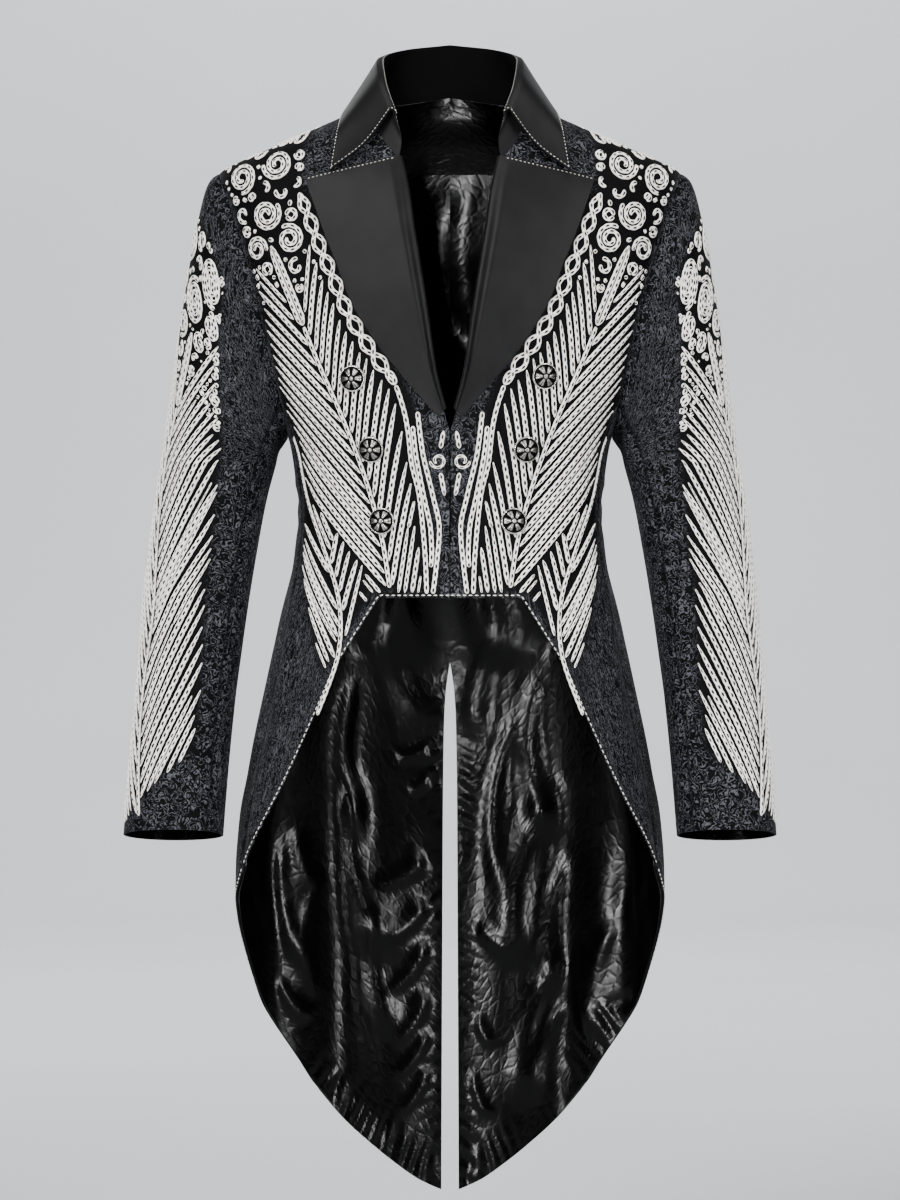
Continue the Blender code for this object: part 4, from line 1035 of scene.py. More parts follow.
def lapel_grid():
    """A half circle of cloth at the roll line, then the cloth lying over the front.

    Straight lines join the roll line to the outer edge; each point is lifted off the front
    by the lapel's lift, a swell in the middle of its length, and the roll's diameter.
    """
    rows = ROLL_ROWS - FINE + 1
    plan = front_plan[NECK_FORE:NECK_FORE + rows, 0]
    roll = figure_point(plan[:, 0], plan[:, 1])[:, (0, 2)]
    outline = dense(LAPEL_EDGE, (0, 1), 400)
    along = reach_along(outline)
    t = np.linspace(0.0, along[-1], rows)
    edge = np.stack([np.interp(t, along, outline[:, 0]), np.interp(t, along, outline[:, 1])], 1)
    u = np.concatenate([[0.0, 0.03, 0.06], np.linspace(0.1, 1.0, 27)])
    flat = roll[:, None] + (edge - roll)[:, None] * u[None, :, None]
    angle = angle_at(flat[..., 0], flat[..., 1], -1)
    base = figure_point(angle, flat[..., 1])
    normal = figure_normal(angle, flat[..., 1])
    down = np.linspace(0.0, 1.0, rows)[:, None]
    swell = LAPEL_SWELL * np.sin(np.pi * np.clip(down * 1.02, 0, 1)) ** 0.5 * (1 - u)[None] ** 1.5
    lift = LAPEL_LIFT + CLOTH + swell + (LAPEL_ROLL - CLOTH) * np.exp(-u[None] / 0.2)
    lift = np.maximum(lift, LAPEL_LIFT)
    lift[:, 0] = 2 * LAPEL_ROLL
    lift[:, 1] = 0.62 * 2 * LAPEL_ROLL + 0.38 * lift[:, 3]
    lift[:, 2] = 0.28 * 2 * LAPEL_ROLL + 0.72 * lift[:, 3]
    sheet = base + normal * lift[..., None]
    way = base[:, 3] - base[:, 0]
    way /= np.linalg.norm(way, axis=-1, keepdims=True)
    curl = []
    for turn in np.radians(np.linspace(0.0, 165.0, 12)):
        curl.append(base[:, 0] - way * (SEAM + LAPEL_ROLL * math.sin(turn))
                    + normal[:, 0] * LAPEL_ROLL * (1 - math.cos(turn)))
    sheet[:, 0] -= way * SEAM
    return np.concatenate([np.stack(curl, 1), sheet], axis=1)


lapel = lapel_grid()
for label, mirrored in SIDES:
    cloth("lapel_cloth_" + label, "lapel_" + label, lapel, CLOTH, FAILLE_STUFF, mirrored)


# ---------------------------------------------------------------- satin lining
# x and height of both ends, width and depth of each fold; negative x is the wearer's right
TAIL_FOLDS_RIGHT = [
    (-0.0965, -0.545, -0.0900, -0.700, 0.009, 0.0022),
    (-0.0940, -0.640, -0.0630, -0.815, 0.015, 0.0038),
    (-0.0680, -0.770, -0.0590, -0.890, 0.008, 0.0022),
    (-0.0700, -0.748, -0.0270, -0.722, 0.007, 0.0018),
    (-0.0620, -0.800, -0.0270, -0.766, 0.007, 0.0018),
    (-0.0600, -0.853, -0.0250, -0.805, 0.005, 0.0015),
    (-0.0545, -0.904, -0.0250, -0.855, 0.005, 0.0015),
    (-0.0540, -0.936, -0.0240, -0.893, 0.005, 0.0014),
    (-0.0480, -0.970, -0.0240, -0.928, 0.005, 0.0013),
    (-0.0520, -0.623, -0.0220, -0.615, 0.004, 0.0012),
    (-0.0410, -0.656, -0.0220, -0.645, 0.004, 0.0011),
    (-0.0660, -0.493, -0.0220, -0.590, 0.012, 0.0014),
    (-0.1510, -0.690, -0.1320, -0.750, 0.005, 0.0014),
    (-0.1650, -0.702, -0.1430, -0.825, 0.005, 0.0016),
    (-0.1310, -0.740, -0.1370, -0.850, 0.005, 0.0014),
    (-0.1680, -0.835, -0.1400, -0.875, 0.005, 0.0013),
]
TAIL_FOLDS_LEFT = [
    (0.0850, -0.540, 0.0970, -0.695, 0.010, 0.0026),
    (0.1030, -0.650, 0.0620, -0.820, 0.014, 0.0038),
    (0.1110, -0.725, 0.1030, -0.850, 0.008, 0.0022),
    (0.1060, -0.820, 0.0690, -0.958, 0.007, 0.0021),
    (0.0300, -0.788, 0.0600, -0.812, 0.005, 0.0016),
    (0.0620, -0.585, 0.0500, -0.755, 0.007, 0.0018),
    (0.0290, -0.875, 0.0420, -0.905, 0.004, 0.0011),
    (0.0240, -0.932, 0.0390, -0.974, 0.004, 0.0011),
    (0.1160, -0.860, 0.0800, -0.952, 0.006, 0.0018),
    (0.1580, -0.785, 0.1380, -0.890, 0.006, 0.0018),
    (0.1310, -0.810, 0.1400, -0.895, 0.005, 0.0015),
    (0.0500, -0.495, 0.0240, -0.600, 0.012, 0.0014),
    (0.0800, -0.500, 0.0660, -0.620, 0.012, 0.0012),
]
NECK_FOLDS = [
    (-0.034, -0.062, -0.029, -0.260, 0.0045, 0.0034),
    (-0.020, -0.058, -0.019, -0.200, 0.0040, 0.0026),
    (-0.0075, -0.060, -0.0085, -0.290, 0.0035, 0.0030),
    (0.011, -0.060, 0.0125, -0.280, 0.0035, 0.0032),
    (0.022, -0.058, 0.0235, -0.210, 0.0050, 0.0028),
    (0.035, -0.062, 0.0310, -0.240, 0.0045, 0.0034),
    (-0.048, -0.064, -0.0440, -0.230, 0.0060, 0.0028),
    (0.049, -0.066, 0.0460, -0.220, 0.0060, 0.0030),
    (-0.066, -0.070, -0.0620, -0.300, 0.0080, 0.0030),
    (0.068, -0.072, 0.0640, -0.310, 0.0080, 0.0030),
    (-0.090, -0.110, -0.0850, -0.380, 0.0100, 0.0028),
    (0.092, -0.110, 0.0880, -0.400, 0.0100, 0.0028),
    (-0.030, -0.300, -0.0360, -0.520, 0.0120, 0.0026),
    (0.034, -0.300, 0.0380, -0.520, 0.0120, 0.0026),
]


HEM_LEAD = 60               # points of the hem's track that are puckered before the back's own


def pucker(x, z):
    """Short creases square to the hem and along the vent's edge, uneven in place and depth.

    Both are a sine about 15 mm long, whose phase is shifted by slower sines, times a bell of
    the distance from the edge: 12 mm in from the hem and 10 mm in from the vent.
    """
    hem = hem_track[hem_back - HEM_LEAD:]
    edge = figure_point(hem[:, 0], hem[:, 1])[:, (0, 2)]
    far = np.sqrt((np.abs(x)[..., None] - edge[:, 0]) ** 2 + (z[..., None] - edge[:, 1]) ** 2)
    nearest = far.argmin(axis=-1)
    gap = far.min(axis=-1)
    along = reach_along(edge)[nearest]
    beat = 430.0 * along + 2.4 * np.sin(41.0 * along) + 1.7 * np.sin(97.0 * along + np.sign(x))
    beat = beat + 180.0 * gap
    deep = 0.0006 * (1.0 + 0.8 * np.sin(23.0 * along + 2.0 * np.sign(x)))
    hem_crease = deep * np.sin(beat) * np.exp(-((gap - 0.012) / 0.016) ** 2)
    vent = np.array(VENT)
    slit = np.abs(x) - spline(vent[:, 0], vent[:, 1], z)
    beat = 400.0 * z + 2.2 * np.sin(53.0 * z) + 190.0 * slit + np.sign(x)
    deep = 0.0004 * np.clip((-0.50 - z) / 0.12, 0, 1) * (1.0 + 0.7 * np.sin(37.0 * z + np.sign(x)))
    band = deep * np.sin(beat) * np.exp(-((slit - 0.010) / 0.010) ** 2)
    return hem_crease + band


def lining(grid, side, folds):
    """The cloth's points moved in by both walls and a gap, and further in by the folds.

    A fold that is too deep for its width is widened, so that its flanks stay soft.
    """
    normal = grid_normals(grid)
    x = grid[..., 0] * side
    z = grid[..., 2]
    eased = [(*f[:4], max(f[4], f[5] / FOLD_STEEPEST), f[5]) for f in folds]
    height = FOLD_GAIN * fold_height(x, z, eased) + pucker(x, z) + LINING_SLACK
    depth = 0.5 * CLOTH + 0.5 * SATIN + LINING_GAP + np.maximum(height, 0.0)
    return grid - normal * depth[..., None]


def finer(plan, columns):
    """The cloth's points on twice the plan's rows and on another count of columns."""
    rows = np.linspace(0.0, len(plan) - 1.0, 2 * len(plan) - 1)
    across = np.linspace(0.0, plan.shape[1] - 1.0, columns + 1)
    at = lookup(plan, *np.meshgrid(rows, across, indexing="ij"))
    return cloth_point(at[..., 0], at[..., 1])


YOKE = 4 * FINE             # rows of the lining down to the yoke's lower edge
YOKE_START = 2              # and to its upper edge
SIDE_START = 12 * FINE      # rows of the side's lining left out, where the front hides it
back_lining = finer(back_plan, BACK_LINES)
side_lining = finer(side_plan, SIDE_LINES)
for label, mirrored in SIDES:
    side = -1.0 if mirrored else 1.0
    folds = NECK_FOLDS + (TAIL_FOLDS_RIGHT if mirrored else TAIL_FOLDS_LEFT)
    pieces = (("yoke", lining(back_lining[:YOKE + 1], side, [])[YOKE_START:]),
              ("back", lining(back_lining, side, folds)[YOKE:]),
              ("side", lining(side_lining, side, folds)[SIDE_START:]))
    for part, grid in pieces:
        cloth(part + "_satin_" + label, "lining_" + part + "_" + label, grid, SATIN, SATIN_STUFF,
              mirrored)

# ---------------------------------------------------------------- plans to draw the needlework on
# a plan's places are the running length round the body or arm and the height or length down,
# both in metres; these tables' steps turn them into rows and columns
DOWN_STEP, TURN_STEP, ROUND_STEP = 0.004, 0.25, 0.001
ARC_Z = np.linspace(0.0, -0.80, 201)
ARC_ANGLE = np.linspace(0.0, 90.0, 361)
ARC_S = np.linspace(0.0, 0.30, 301)
SLEEVE_REACH = 0.16         # as far as this each way from the sleeve's outer line
SLEEVE_A = np.linspace(-SLEEVE_REACH, SLEEVE_REACH, 321)


def front_arcs():
    """Running length round the front at each height, and the angle for each such length."""
    points = figure_point(ARC_ANGLE[None, :], ARC_Z[:, None])
    steps = np.linalg.norm(np.diff(points, axis=1), axis=-1)
    reach = np.concatenate([np.zeros((len(ARC_Z), 1)), np.cumsum(steps, axis=1)], axis=1)
    angle = np.stack([np.interp(ARC_S, row, ARC_ANGLE) for row in reach])
    return reach, angle


front_reach, front_angle = front_arcs()


def round_front(angle, z):
    """Running length from the centre front to an angle, at a height."""
    angle = np.asarray(angle, float)
    z = np.asarray(z, float) + 0.0 * angle
    return lookup(front_reach, z / -DOWN_STEP, angle / TURN_STEP)


def front_place(plan):
    """Cloth's outer face and its normal for places (length round the front, height)."""
    angle = lookup(front_angle, plan[..., 1] / -DOWN_STEP, plan[..., 0] / ROUND_STEP)
    return cloth_point(angle, plan[..., 1], 0.5 * CLOTH), figure_normal(angle, plan[..., 1])


def sleeve_arcs():
    """Station for each running length round the sleeve from its outer line, on each ring."""
    stations = sleeve.shape[1]
    around = np.roll(sleeve, stations // 2, axis=1)
    steps = np.linalg.norm(np.diff(around, axis=1), axis=-1)
    reach = np.concatenate([np.zeros((len(sleeve), 1)), np.cumsum(steps, axis=1)], axis=1)
    reach -= reach[:, stations // 2][:, None]
    number = np.arange(stations) - stations // 2
    return np.stack([np.interp(SLEEVE_A, row, number) for row in reach])


sleeve_station = sleeve_arcs()
sleeve_down = reach_along(sleeve[:, 0])
SLEEVE_LENGTH = float(sleeve_down[-1])
sleeve_loop = np.concatenate([sleeve, sleeve, sleeve[:, :1]], axis=1)
sleeve_normals = np.concatenate([sleeve_out, sleeve_out, sleeve_out[:, :1]], axis=1)


def sleeve_place(plan):
    """Sleeve's outer face and its normal for places (length round from outside, length down)."""
    row = np.interp(plan[..., 1], sleeve_down, np.arange(len(sleeve_down)))
    column = (plan[..., 0] + SLEEVE_REACH) / ROUND_STEP
    station = lookup(sleeve_station, row, column) + sleeve.shape[1]
    station = np.where(station >= 2 * sleeve.shape[1] - 1, station - sleeve.shape[1], station)
    normal = lookup(sleeve_normals, row, station)
    normal /= np.linalg.norm(normal, axis=-1, keepdims=True)
    return lookup(sleeve_loop, row, station) + normal * 0.5 * CLOTH, normal


# ---------------------------------------------------------------- rows of stitches
STITCH_STEP = 0.0015        # five steps a link
THREAD_HALF = 0.0022        # half width of a row at which its strands have the height below
ROW_TAPER = 0.0022          # length over which a row closes at its ends
EYE_REACH, EYE_RAMP = 0.40, 0.14            # of a link's eye each way, as shares of a link
MEET_HEIGHT, EYE_DROP = 0.00118, 0.00138    # of the middle where links meet, and less in an eye
MEET_PINCH = 0.13           # how much narrower a row is where links meet
LINK_SHIFT = 3.1            # millimetres between the first links of a row and the row before
# places across a row from edge to edge, as shares of its half width, and their heights
ROW_ACROSS = np.array([-1.0, -0.80, -0.42, 0.0, 0.42, 0.80, 1.0])
ROW_HEIGHT = np.array([-0.00030, 0.00085, 0.00135, 0.0, 0.00135, 0.00085, -0.00030])


def chain_row(plan, half, place, start=0.0, lift=None):
    """One row of chain stitch along a line of the plan, with its half width at each point.

    Seven points lie across the row at every step: two round strands rise beside a middle
    that dips to the cloth in each link's eye and is full height where links meet. The row
    narrows a little at each join and closes to a point at both ends.
    """
    at = reach_along(place(plan)[0])
    count = max(5, int(round(at[-1] / STITCH_STEP)))
    t = np.linspace(0.0, at[-1], count + 1)
    line = np.stack([np.interp(t, at, plan[:, 0]), np.interp(t, at, plan[:, 1])], -1)
    wide = np.interp(t, at, half)
    point, normal = place(line)
    tangent = np.gradient(point, axis=0)
    tangent /= np.linalg.norm(tangent, axis=-1, keepdims=True)
    beside = np.cross(normal, tangent)
    beside /= np.linalg.norm(beside, axis=-1, keepdims=True)
    millimetres = 1000.0 * t + start
    phase = np.abs(millimetres / LINK % 1.0 - 0.5)
    eye = np.clip((EYE_REACH - phase) / EYE_RAMP, 0.0, 1.0)
    eye = eye * eye * (3.0 - 2.0 * eye)
    end = np.clip(np.minimum(t, t[-1] - t) / ROW_TAPER, 0.0, 1.0) ** 0.5
    wide = wide * (1.0 - MEET_PINCH * (1.0 - eye)) * (0.25 + 0.75 * end)
    shape = (count + 1, len(ROW_ACROSS))
    height = np.broadcast_to(ROW_HEIGHT, shape).copy()
    height[:, 3] = MEET_HEIGHT - EYE_DROP * eye
    height = height * (np.clip(wide / THREAD_HALF, 0.45, 1.1) * end)[:, None]
    height = height - 0.0002 * (1 - end)[:, None]
    points = point[:, None] + beside[:, None] * (wide[:, None] * ROW_ACROSS)[..., None]
    if lift is not None:
        height = height + np.interp(t, at, lift)[:, None]
    points = points + normal[:, None] * height[..., None]
    uv = np.stack([np.broadcast_to(ROW_ACROSS, shape),
                   np.broadcast_to(millimetres[:, None], shape)], -1)
    return points, uv


def sew(name, rows, stuff, mirrored=False):
    """Joins rows of stitches into one piece; each row is a tube closed round its section."""
    points = []
    faces = []
    uvs = []
    base = 0
    for point, uv in rows:
        points.append(point.reshape(-1, 3))
        uvs.append(uv.reshape(-1, 2))
        faces.append(grid_faces(point.shape[0], point.shape[1], True) + base)
        base += point.shape[0] * point.shape[1]
    points = np.concatenate(points)
    faces = np.concatenate(faces)
    if mirrored:
        points = points * np.array([-1.0, 1.0, 1.0])
        faces = faces[:, ::-1]
    made = build(name, points, faces, np.concatenate(uvs), "row", stuff)
    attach(made, "root")


# ---------------------------------------------------------------- the leaves' and scrolls' layout
CELL = 0.001                # a cell of the raster


class Ground:
    """A millimetre raster of a plan that knows where stitches may still be laid."""

    def __init__(self, low, high):
        self.low = np.array(low)
        self.shape = np.ceil((np.array(high) - self.low) / CELL).astype(int) + 1
        a = self.low[0] + CELL * np.arange(self.shape[0])
        b = self.low[1] + CELL * np.arange(self.shape[1])
        self.places = np.stack(np.meshgrid(a, b, indexing="ij"), -1)
        self.free = np.ones(self.shape, bool)
        self.laid = np.zeros((0, 3))

    def cells(self, plan):
        """Row and column of each place of the plan, and whether the raster has it."""
        index = np.round((plan - self.low) / CELL).astype(int)
        inside = ((index >= 0) & (index < self.shape)).all(axis=-1)
        return np.clip(index, 0, self.shape - 1), inside

    def fits(self, plan):
        """Whether every place of the plan is on the raster and free."""
        index, inside = self.cells(plan)
        return bool(inside.all() and self.free[index[..., 0], index[..., 1]].all())

    def take(self, plan, grow=0.0):
        """Marks the cells of the plan and those within grow of them."""
        ring = np.array([(0, 0), (1, 0), (-1, 0), (0, 1), (0, -1),
                         (0.7, 0.7), (-0.7, 0.7), (0.7, -0.7), (-0.7, -0.7)])
        for step in np.arange(0.0, grow + 0.5 * CELL, CELL):
            index, inside = self.cells(plan[..., None, :] + ring * step)
            index = index[inside]
            self.free[index[:, 0], index[:, 1]] = False

    def note(self, line, turn):
        """Keeps a laid row's places and headings, for what is laid beside it."""
        self.laid = np.concatenate([self.laid, np.column_stack([line, turn])[::4]])


def smooth_path(knots, count=80):
    """Spline through the plan's knots."""
    knots = np.array(knots, float)
    t = np.linspace(0.0, 1.0, count) * (len(knots) - 1)
    i = np.clip(t.astype(int), 0, len(knots) - 2)
    u = (t - i)[:, None]
    a = knots[np.clip(i - 1, 0, None)]
    b = knots[i]
    c = knots[i + 1]
    d = knots[np.clip(i + 2, None, len(knots) - 1)]
    return 0.5 * (2 * b + (c - a) * u + (2 * a - 5 * b + 4 * c - d) * u * u
                  + (3 * b - a - 3 * c + d) * u ** 3)


LEAF_POINTS = 30            # along a leaf's middle line
ROW_TRIM, ROW_LEAST = 0.00035, 0.0008       # off each row's half width in a leaf, and least left


def leaf_form(start, heading, length, half, bend):
    """Middle line, side ways, half widths and headings of a leaf that turns evenly by bend.

    The half width rises fast from the stem, by the root of t, and falls to the tip as
    (1 - t^8)^0.6.
    """
    t = np.linspace(0.0, 1.0, LEAF_POINTS)
    turn = heading + bend * t
    step = length / (LEAF_POINTS - 1.0) * np.stack([np.cos(turn), np.sin(turn)], -1)
    line = start + np.concatenate([[[0.0, 0.0]], np.cumsum(0.5 * (step[1:] + step[:-1]), axis=0)])
    aside = np.stack([-np.sin(turn), np.cos(turn)], -1)
    wide = half * np.minimum(1.0, t / 0.09) ** 0.5 * (1.0 - t ** 8) ** 0.6
    return line, aside, wide, turn


def leaf(ground, start, heading, lengths, half, bend, rows, gap=0.0012):
    """Longest and then widest leaf that fits, as (line, half width) rows side by side."""
    widths = ((1.0, rows), (0.86, rows), (0.67, max(1, rows - 1)), (0.40, max(1, rows - 2)))
    for length in lengths:
        for share, count in widths:
            if count == rows and share < 0.8:
                continue
            line, aside, wide, turn = leaf_form(start, heading, length, half * share, bend)
            spread = np.linspace(-1.0, 1.0, 9)[None, :, None]
            taken = line[3:, None] + aside[3:, None] * spread * (wide[3:] + 0.0003)[:, None, None]
            if not ground.fits(taken):
                continue
            ground.take(line[:, None] + aside[:, None] * spread * wide[:, None, None], gap)
            ground.note(line, turn)
            out = []
            for k in np.arange(count) - 0.5 * (count - 1):
                first, last = (0, LEAF_POINTS) if abs(k) < 0.6 else (1, LEAF_POINTS - 2)
                path = line + aside * (2.0 * k / count * wide)[:, None]
                each = np.maximum(wide / count - ROW_TRIM, ROW_LEAST)
                out.append((path[first:last], each[first:last]))
            return out
    return []


LEAF_HALF, STEM_HALF = 0.0029, 0.0021       # half widths of a frond's rows and of its stem
LEAF_BEND = 0.10                            # how far its rows turn, in radians
LEAF_SHORTEST = 0.022


def frond(ground, knots, angle, longest):
    """A stem of one row with parallel rows up both its sides, three of them to a leaf.

    The rows' heading follows a quarter of the stem's own turning, so they stay side by
    side. The step along the stem is the rows' pitch over the sine of the angle between.
    """
    path = smooth_path(knots)
    along = reach_along(path)
    way = np.gradient(path, axis=0)
    heading = np.unwrap(np.arctan2(way[:, 1], way[:, 0]))
    out = [(path, np.full(len(path), STEM_HALF))]
    aside = np.stack([-np.sin(heading), np.cos(heading)], -1)
    spread = np.linspace(-1.0, 1.0, 5)[None, :, None]
    ground.take(path[:, None] + aside[:, None] * spread * (STEM_HALF + 0.0004))
    ground.note(path, heading)
    mean = float(heading.mean())
    for side in (-1.0, 1.0):
        s = 0.002
        number = 0
        while s < along[-1] - 0.002:
            local = np.interp(s, along, heading)
            turn = mean + 0.25 * (local - mean) + side * angle
            start = np.array([np.interp(s, along, path[:, 0]), np.interp(s, along, path[:, 1])])
            across = np.array([-math.sin(local), math.cos(local)]) * side
            size = longest * (0.86, 1.0, 0.92)[number % 3] * (1.0 - 0.12 * s / along[-1])
            out += leaf(ground, start + across * (STEM_HALF + 0.0006), turn,
                        np.arange(size, LEAF_SHORTEST, -0.003), LEAF_HALF, side * LEAF_BEND, 1,
                        0.0004)
            number += 1
            pitch = 2.0 * LEAF_HALF + 0.0005 + (0.0008 if number % 3 == 0 else 0.0)
            s += pitch / max(abs(math.sin(turn - local)), 0.2)
    turn = heading[-1]
    out += leaf(ground, path[-1] + 0.001 * np.array([math.cos(turn), math.sin(turn)]), turn,
                np.arange(0.5 * longest, LEAF_SHORTEST, -0.004), 0.0056, 0.0, 2)
    return out


def clearance(free):
    """Distance of each free cell from the nearest taken one, in steps of a worn-down edge."""
    depth = np.zeros(free.shape, int)
    left = free.copy()
    left[0] = left[-1] = False
    left[:, 0] = left[:, -1] = False
    for step in range(28):
        depth += left
        near = left[1:-1, 1:-1] & left[2:, 1:-1] & left[:-2, 1:-1]
        near &= left[1:-1, 2:] & left[1:-1, :-2]
        if step % 2:
            near &= left[2:, 2:] & left[:-2, :-2] & left[2:, :-2] & left[:-2, 2:]
        left[1:-1, 1:-1] = near
        if not left.any():
            break
    return depth


SPIRAL_LEAST, RING_LEAST = 0.0074, 0.0042   # radius of the smallest spiral and smallest ring
SPIRAL_EYE, SPIRAL_GAP = 0.0026, 0.0012     # radius at its inner end, and gap between its turns


def scrolls(ground, zone, largest, smallest, half=0.0022):
    """Fills a zone with spirals, each as large as the widest bare spot left allows.

    A spiral winds inward from its edge by one cord and a gap each turn; a spot too small
    for one takes a ring, and the smallest spots take a short stroke.
    """
    rows = []
    number = 0
    while True:
        depth = clearance(ground.free & zone)
        if depth.max() * CELL < smallest:
            return rows
        spot = np.unravel_index(int(depth.argmax()), depth.shape)
        centre = ground.places[spot]
        radius = min(largest, CELL * depth[spot] - 0.0002)
        r = np.linspace(0.0, radius + 0.0004, 40)[:, None]
        ring = np.linspace(0.0, 2 * np.pi, 160)[None, :]
        ground.take(centre + np.stack([r * np.cos(ring), r * np.sin(ring)], -1))
        edge = radius - half
        start = 2.4 * number
        way = 1.0 if number % 2 else -1.0
        number += 1
        if radius > SPIRAL_LEAST:
            rounds = (edge - SPIRAL_EYE) / (2 * half + SPIRAL_GAP)
            t = np.linspace(0.0, 1.0, 100)
            r = edge - (edge - SPIRAL_EYE) * t
            a = start + way * 2.0 * np.pi * rounds * t
        elif radius > RING_LEAST:
            a = start + np.linspace(0.0, 2.0 * np.pi, 40)
            r = np.full(40, max(edge, 0.0022))
        else:
            a = start + np.linspace(0.0, np.pi, 2)
            r = np.full(2, 0.8 * radius)
        path = centre + np.stack([r * np.cos(a), r * np.sin(a)], -1)
        if len(path) == 2:                      # the stroke needs points between its ends
            path = path[0] + (path[1] - path[0]) * np.linspace(0, 1, 6)[:, None]
        rows.append((path, np.full(len(path), min(half, 0.75 * radius))))


def scatter(ground, zone, shortest, longest, half, rows):
    """Leaves laid on the bare spots as their neighbours run, where the run is longest first.

    The free run of a spot is followed both ways along the heading of the nearest row, and
    the leaf takes all of it that its width allows.
    """
    out = []
    t = np.arange(0.0, longest, 0.0015)
    for _ in range(2):
        spots = np.argwhere((ground.free & zone)[::3, ::3]) * 3
        if not len(spots):
            return out
        start = ground.places[spots[:, 0], spots[:, 1]]
        parts = np.array_split(start, 1 + len(start) // 500)
        near = np.concatenate([
            ((ground.laid[None, :, :2] - part[:, None]) ** 2).sum(axis=-1).argmin(axis=1)
            for part in parts])
        turn = ground.laid[near, 2]
        way = np.stack([np.cos(turn), np.sin(turn)], -1)
        runs = []
        for sign in (1.0, -1.0):
            index, inside = ground.cells(start[:, None] + sign * way[:, None] * t[None, :, None])
            shut = ~(inside & ground.free[index[..., 0], index[..., 1]])
            shut[:, -1] = True
            runs.append(t[shut.argmax(axis=1)])
        total = np.minimum(runs[0] + runs[1], longest)
        for k in np.argsort(-total, kind="stable"):
            if total[k] > shortest and ground.free[spots[k, 0], spots[k, 1]]:
                back = start[k] - way[k] * max(runs[1][k] - 0.001, 0.0)
                sizes = [share * total[k] for share in (0.97, 0.8, 0.62)]
                sizes = [size for size in sizes if size > shortest]
                out += leaf(ground, back, turn[k], sizes, half, 0.0, rows, 0.0004)
    return out


def plan_of(table, count=ARM_POINTS):
    """Plan of the front for a line given by x and height."""
    line = dense(table, (0, 1), count)
    return np.stack([round_front(angle_at(line[:, 0], line[:, 1], -1), line[:, 1]), line[:, 1]], 1)


# the rope beside the lapel and the two rows on to the hem, as x and height
ROPE_LINE = [
    (0.1400, -0.0900), (0.1290, -0.1180), (0.1195, -0.1430), (0.1090, -0.1680), (0.0965, -0.1985),
    (0.0710, -0.2410), (0.0505, -0.2700), (0.0395, -0.3080), (0.0355, -0.3420), (0.0285, -0.3720),
    (0.0225, -0.4360), (0.0215, -0.4635),
]
INNER_LINE = [
    (0.0300, -0.2950), (0.0255, -0.3310), (0.0161, -0.3713), (0.0098, -0.4036), (0.0124, -0.4358),
    (0.0158, -0.4635),
]
MIDDLE_LINE = [
    (0.0345, -0.3080), (0.0322, -0.3300), (0.0248, -0.3700), (0.0178, -0.4050), (0.0168, -0.4250),
    (0.0176, -0.4390),
]
rope_plan = plan_of(ROPE_LINE)
inner_row = plan_of(INNER_LINE, 60)
middle_row = plan_of(MIDDLE_LINE, 60)
KNOT = int(np.argmin(np.abs(rope_plan[:, 1] + 0.2700)))      # where the rope's two strands part

# bare strips beside the rope, its end, the hem and the seams
ROPE_BARE, CORD_BARE, HEM_BARE, SEAM_BARE = 0.0092, 0.0036, 0.0085, 0.0070
ground = Ground((0.0, -0.62), (0.28, 0.0))
place_s = ground.places[..., 0]
place_z = ground.places[..., 1]
edge_z = rope_plan[::-1, 1]
inner = np.interp(place_z, edge_z, rope_plan[::-1, 0])
inner = inner + np.where(place_z > rope_plan[KNOT, 1], ROPE_BARE, CORD_BARE)
hem_fore = hem_track[:hem_front]
hem_s = round_front(hem_fore[:, 0], hem_fore[:, 1])
hem_inner = np.interp(place_z, hem_fore[::-1, 1], hem_s[::-1]) + HEM_BARE
inner = np.where(place_z < -0.462, hem_inner, inner)
inner = np.where(place_z > -0.086, 0.137, inner)
right_angle = np.interp(place_z, side_front[::-1, 1], side_front[::-1, 0])
arm_angle = np.interp(place_z, arm_fore[::-1, 1], arm_fore[::-1, 0])
arm_angle = np.where(place_z > SHOULDER_TIP_Z, 90.0, arm_angle)
outer_angle = np.where(place_z > armhole[ARM_FRONT][1], arm_angle, right_angle)
outer = round_front(outer_angle, place_z) - SEAM_BARE
# below this slanting line the vermicelli ground stays bare
bare = 0.186 + (place_z + 0.352) * 0.34
outer = np.where(place_z < -0.352, np.minimum(outer, bare), outer)
ground.free = (place_s > inner) & (place_s < outer) & (place_z < -0.014) & (place_z > -0.585)
front_zone = ground.free.copy()

shoulder = place_z > -0.190 - 0.10 * (place_s - 0.15)
# stems of the fronds in the plan, with their rows' angle to the stem and longest length
FRONT_FRONDS = (
    ([(0.0560, -0.4580), (0.0640, -0.4100), (0.0800, -0.3550), (0.1020, -0.3000),
      (0.1250, -0.2500), (0.1400, -0.2150)], 0.42, 0.165),
    ([(0.1270, -0.5760), (0.1060, -0.5200), (0.1060, -0.4700), (0.1250, -0.4200),
      (0.1520, -0.3700), (0.1740, -0.3150)], 0.40, 0.130),
)
# leaves on the bare spots after the widest ones: shortest length, half width and rows
FILLERS = ((0.026, 0.0031, 1), (0.020, 0.0025, 1), (0.011, 0.0018, 1))
front_rows = []
for knots, angle, longest in FRONT_FRONDS:
    front_rows += frond(ground, knots, angle, longest)
for shortest, half, rows in ((0.045, 0.0056, 2),) + FILLERS:
    front_rows += scatter(ground, ~shoulder, shortest, 0.120, half, rows)
front_rows += scrolls(ground, shoulder, 0.0170, 0.0030)

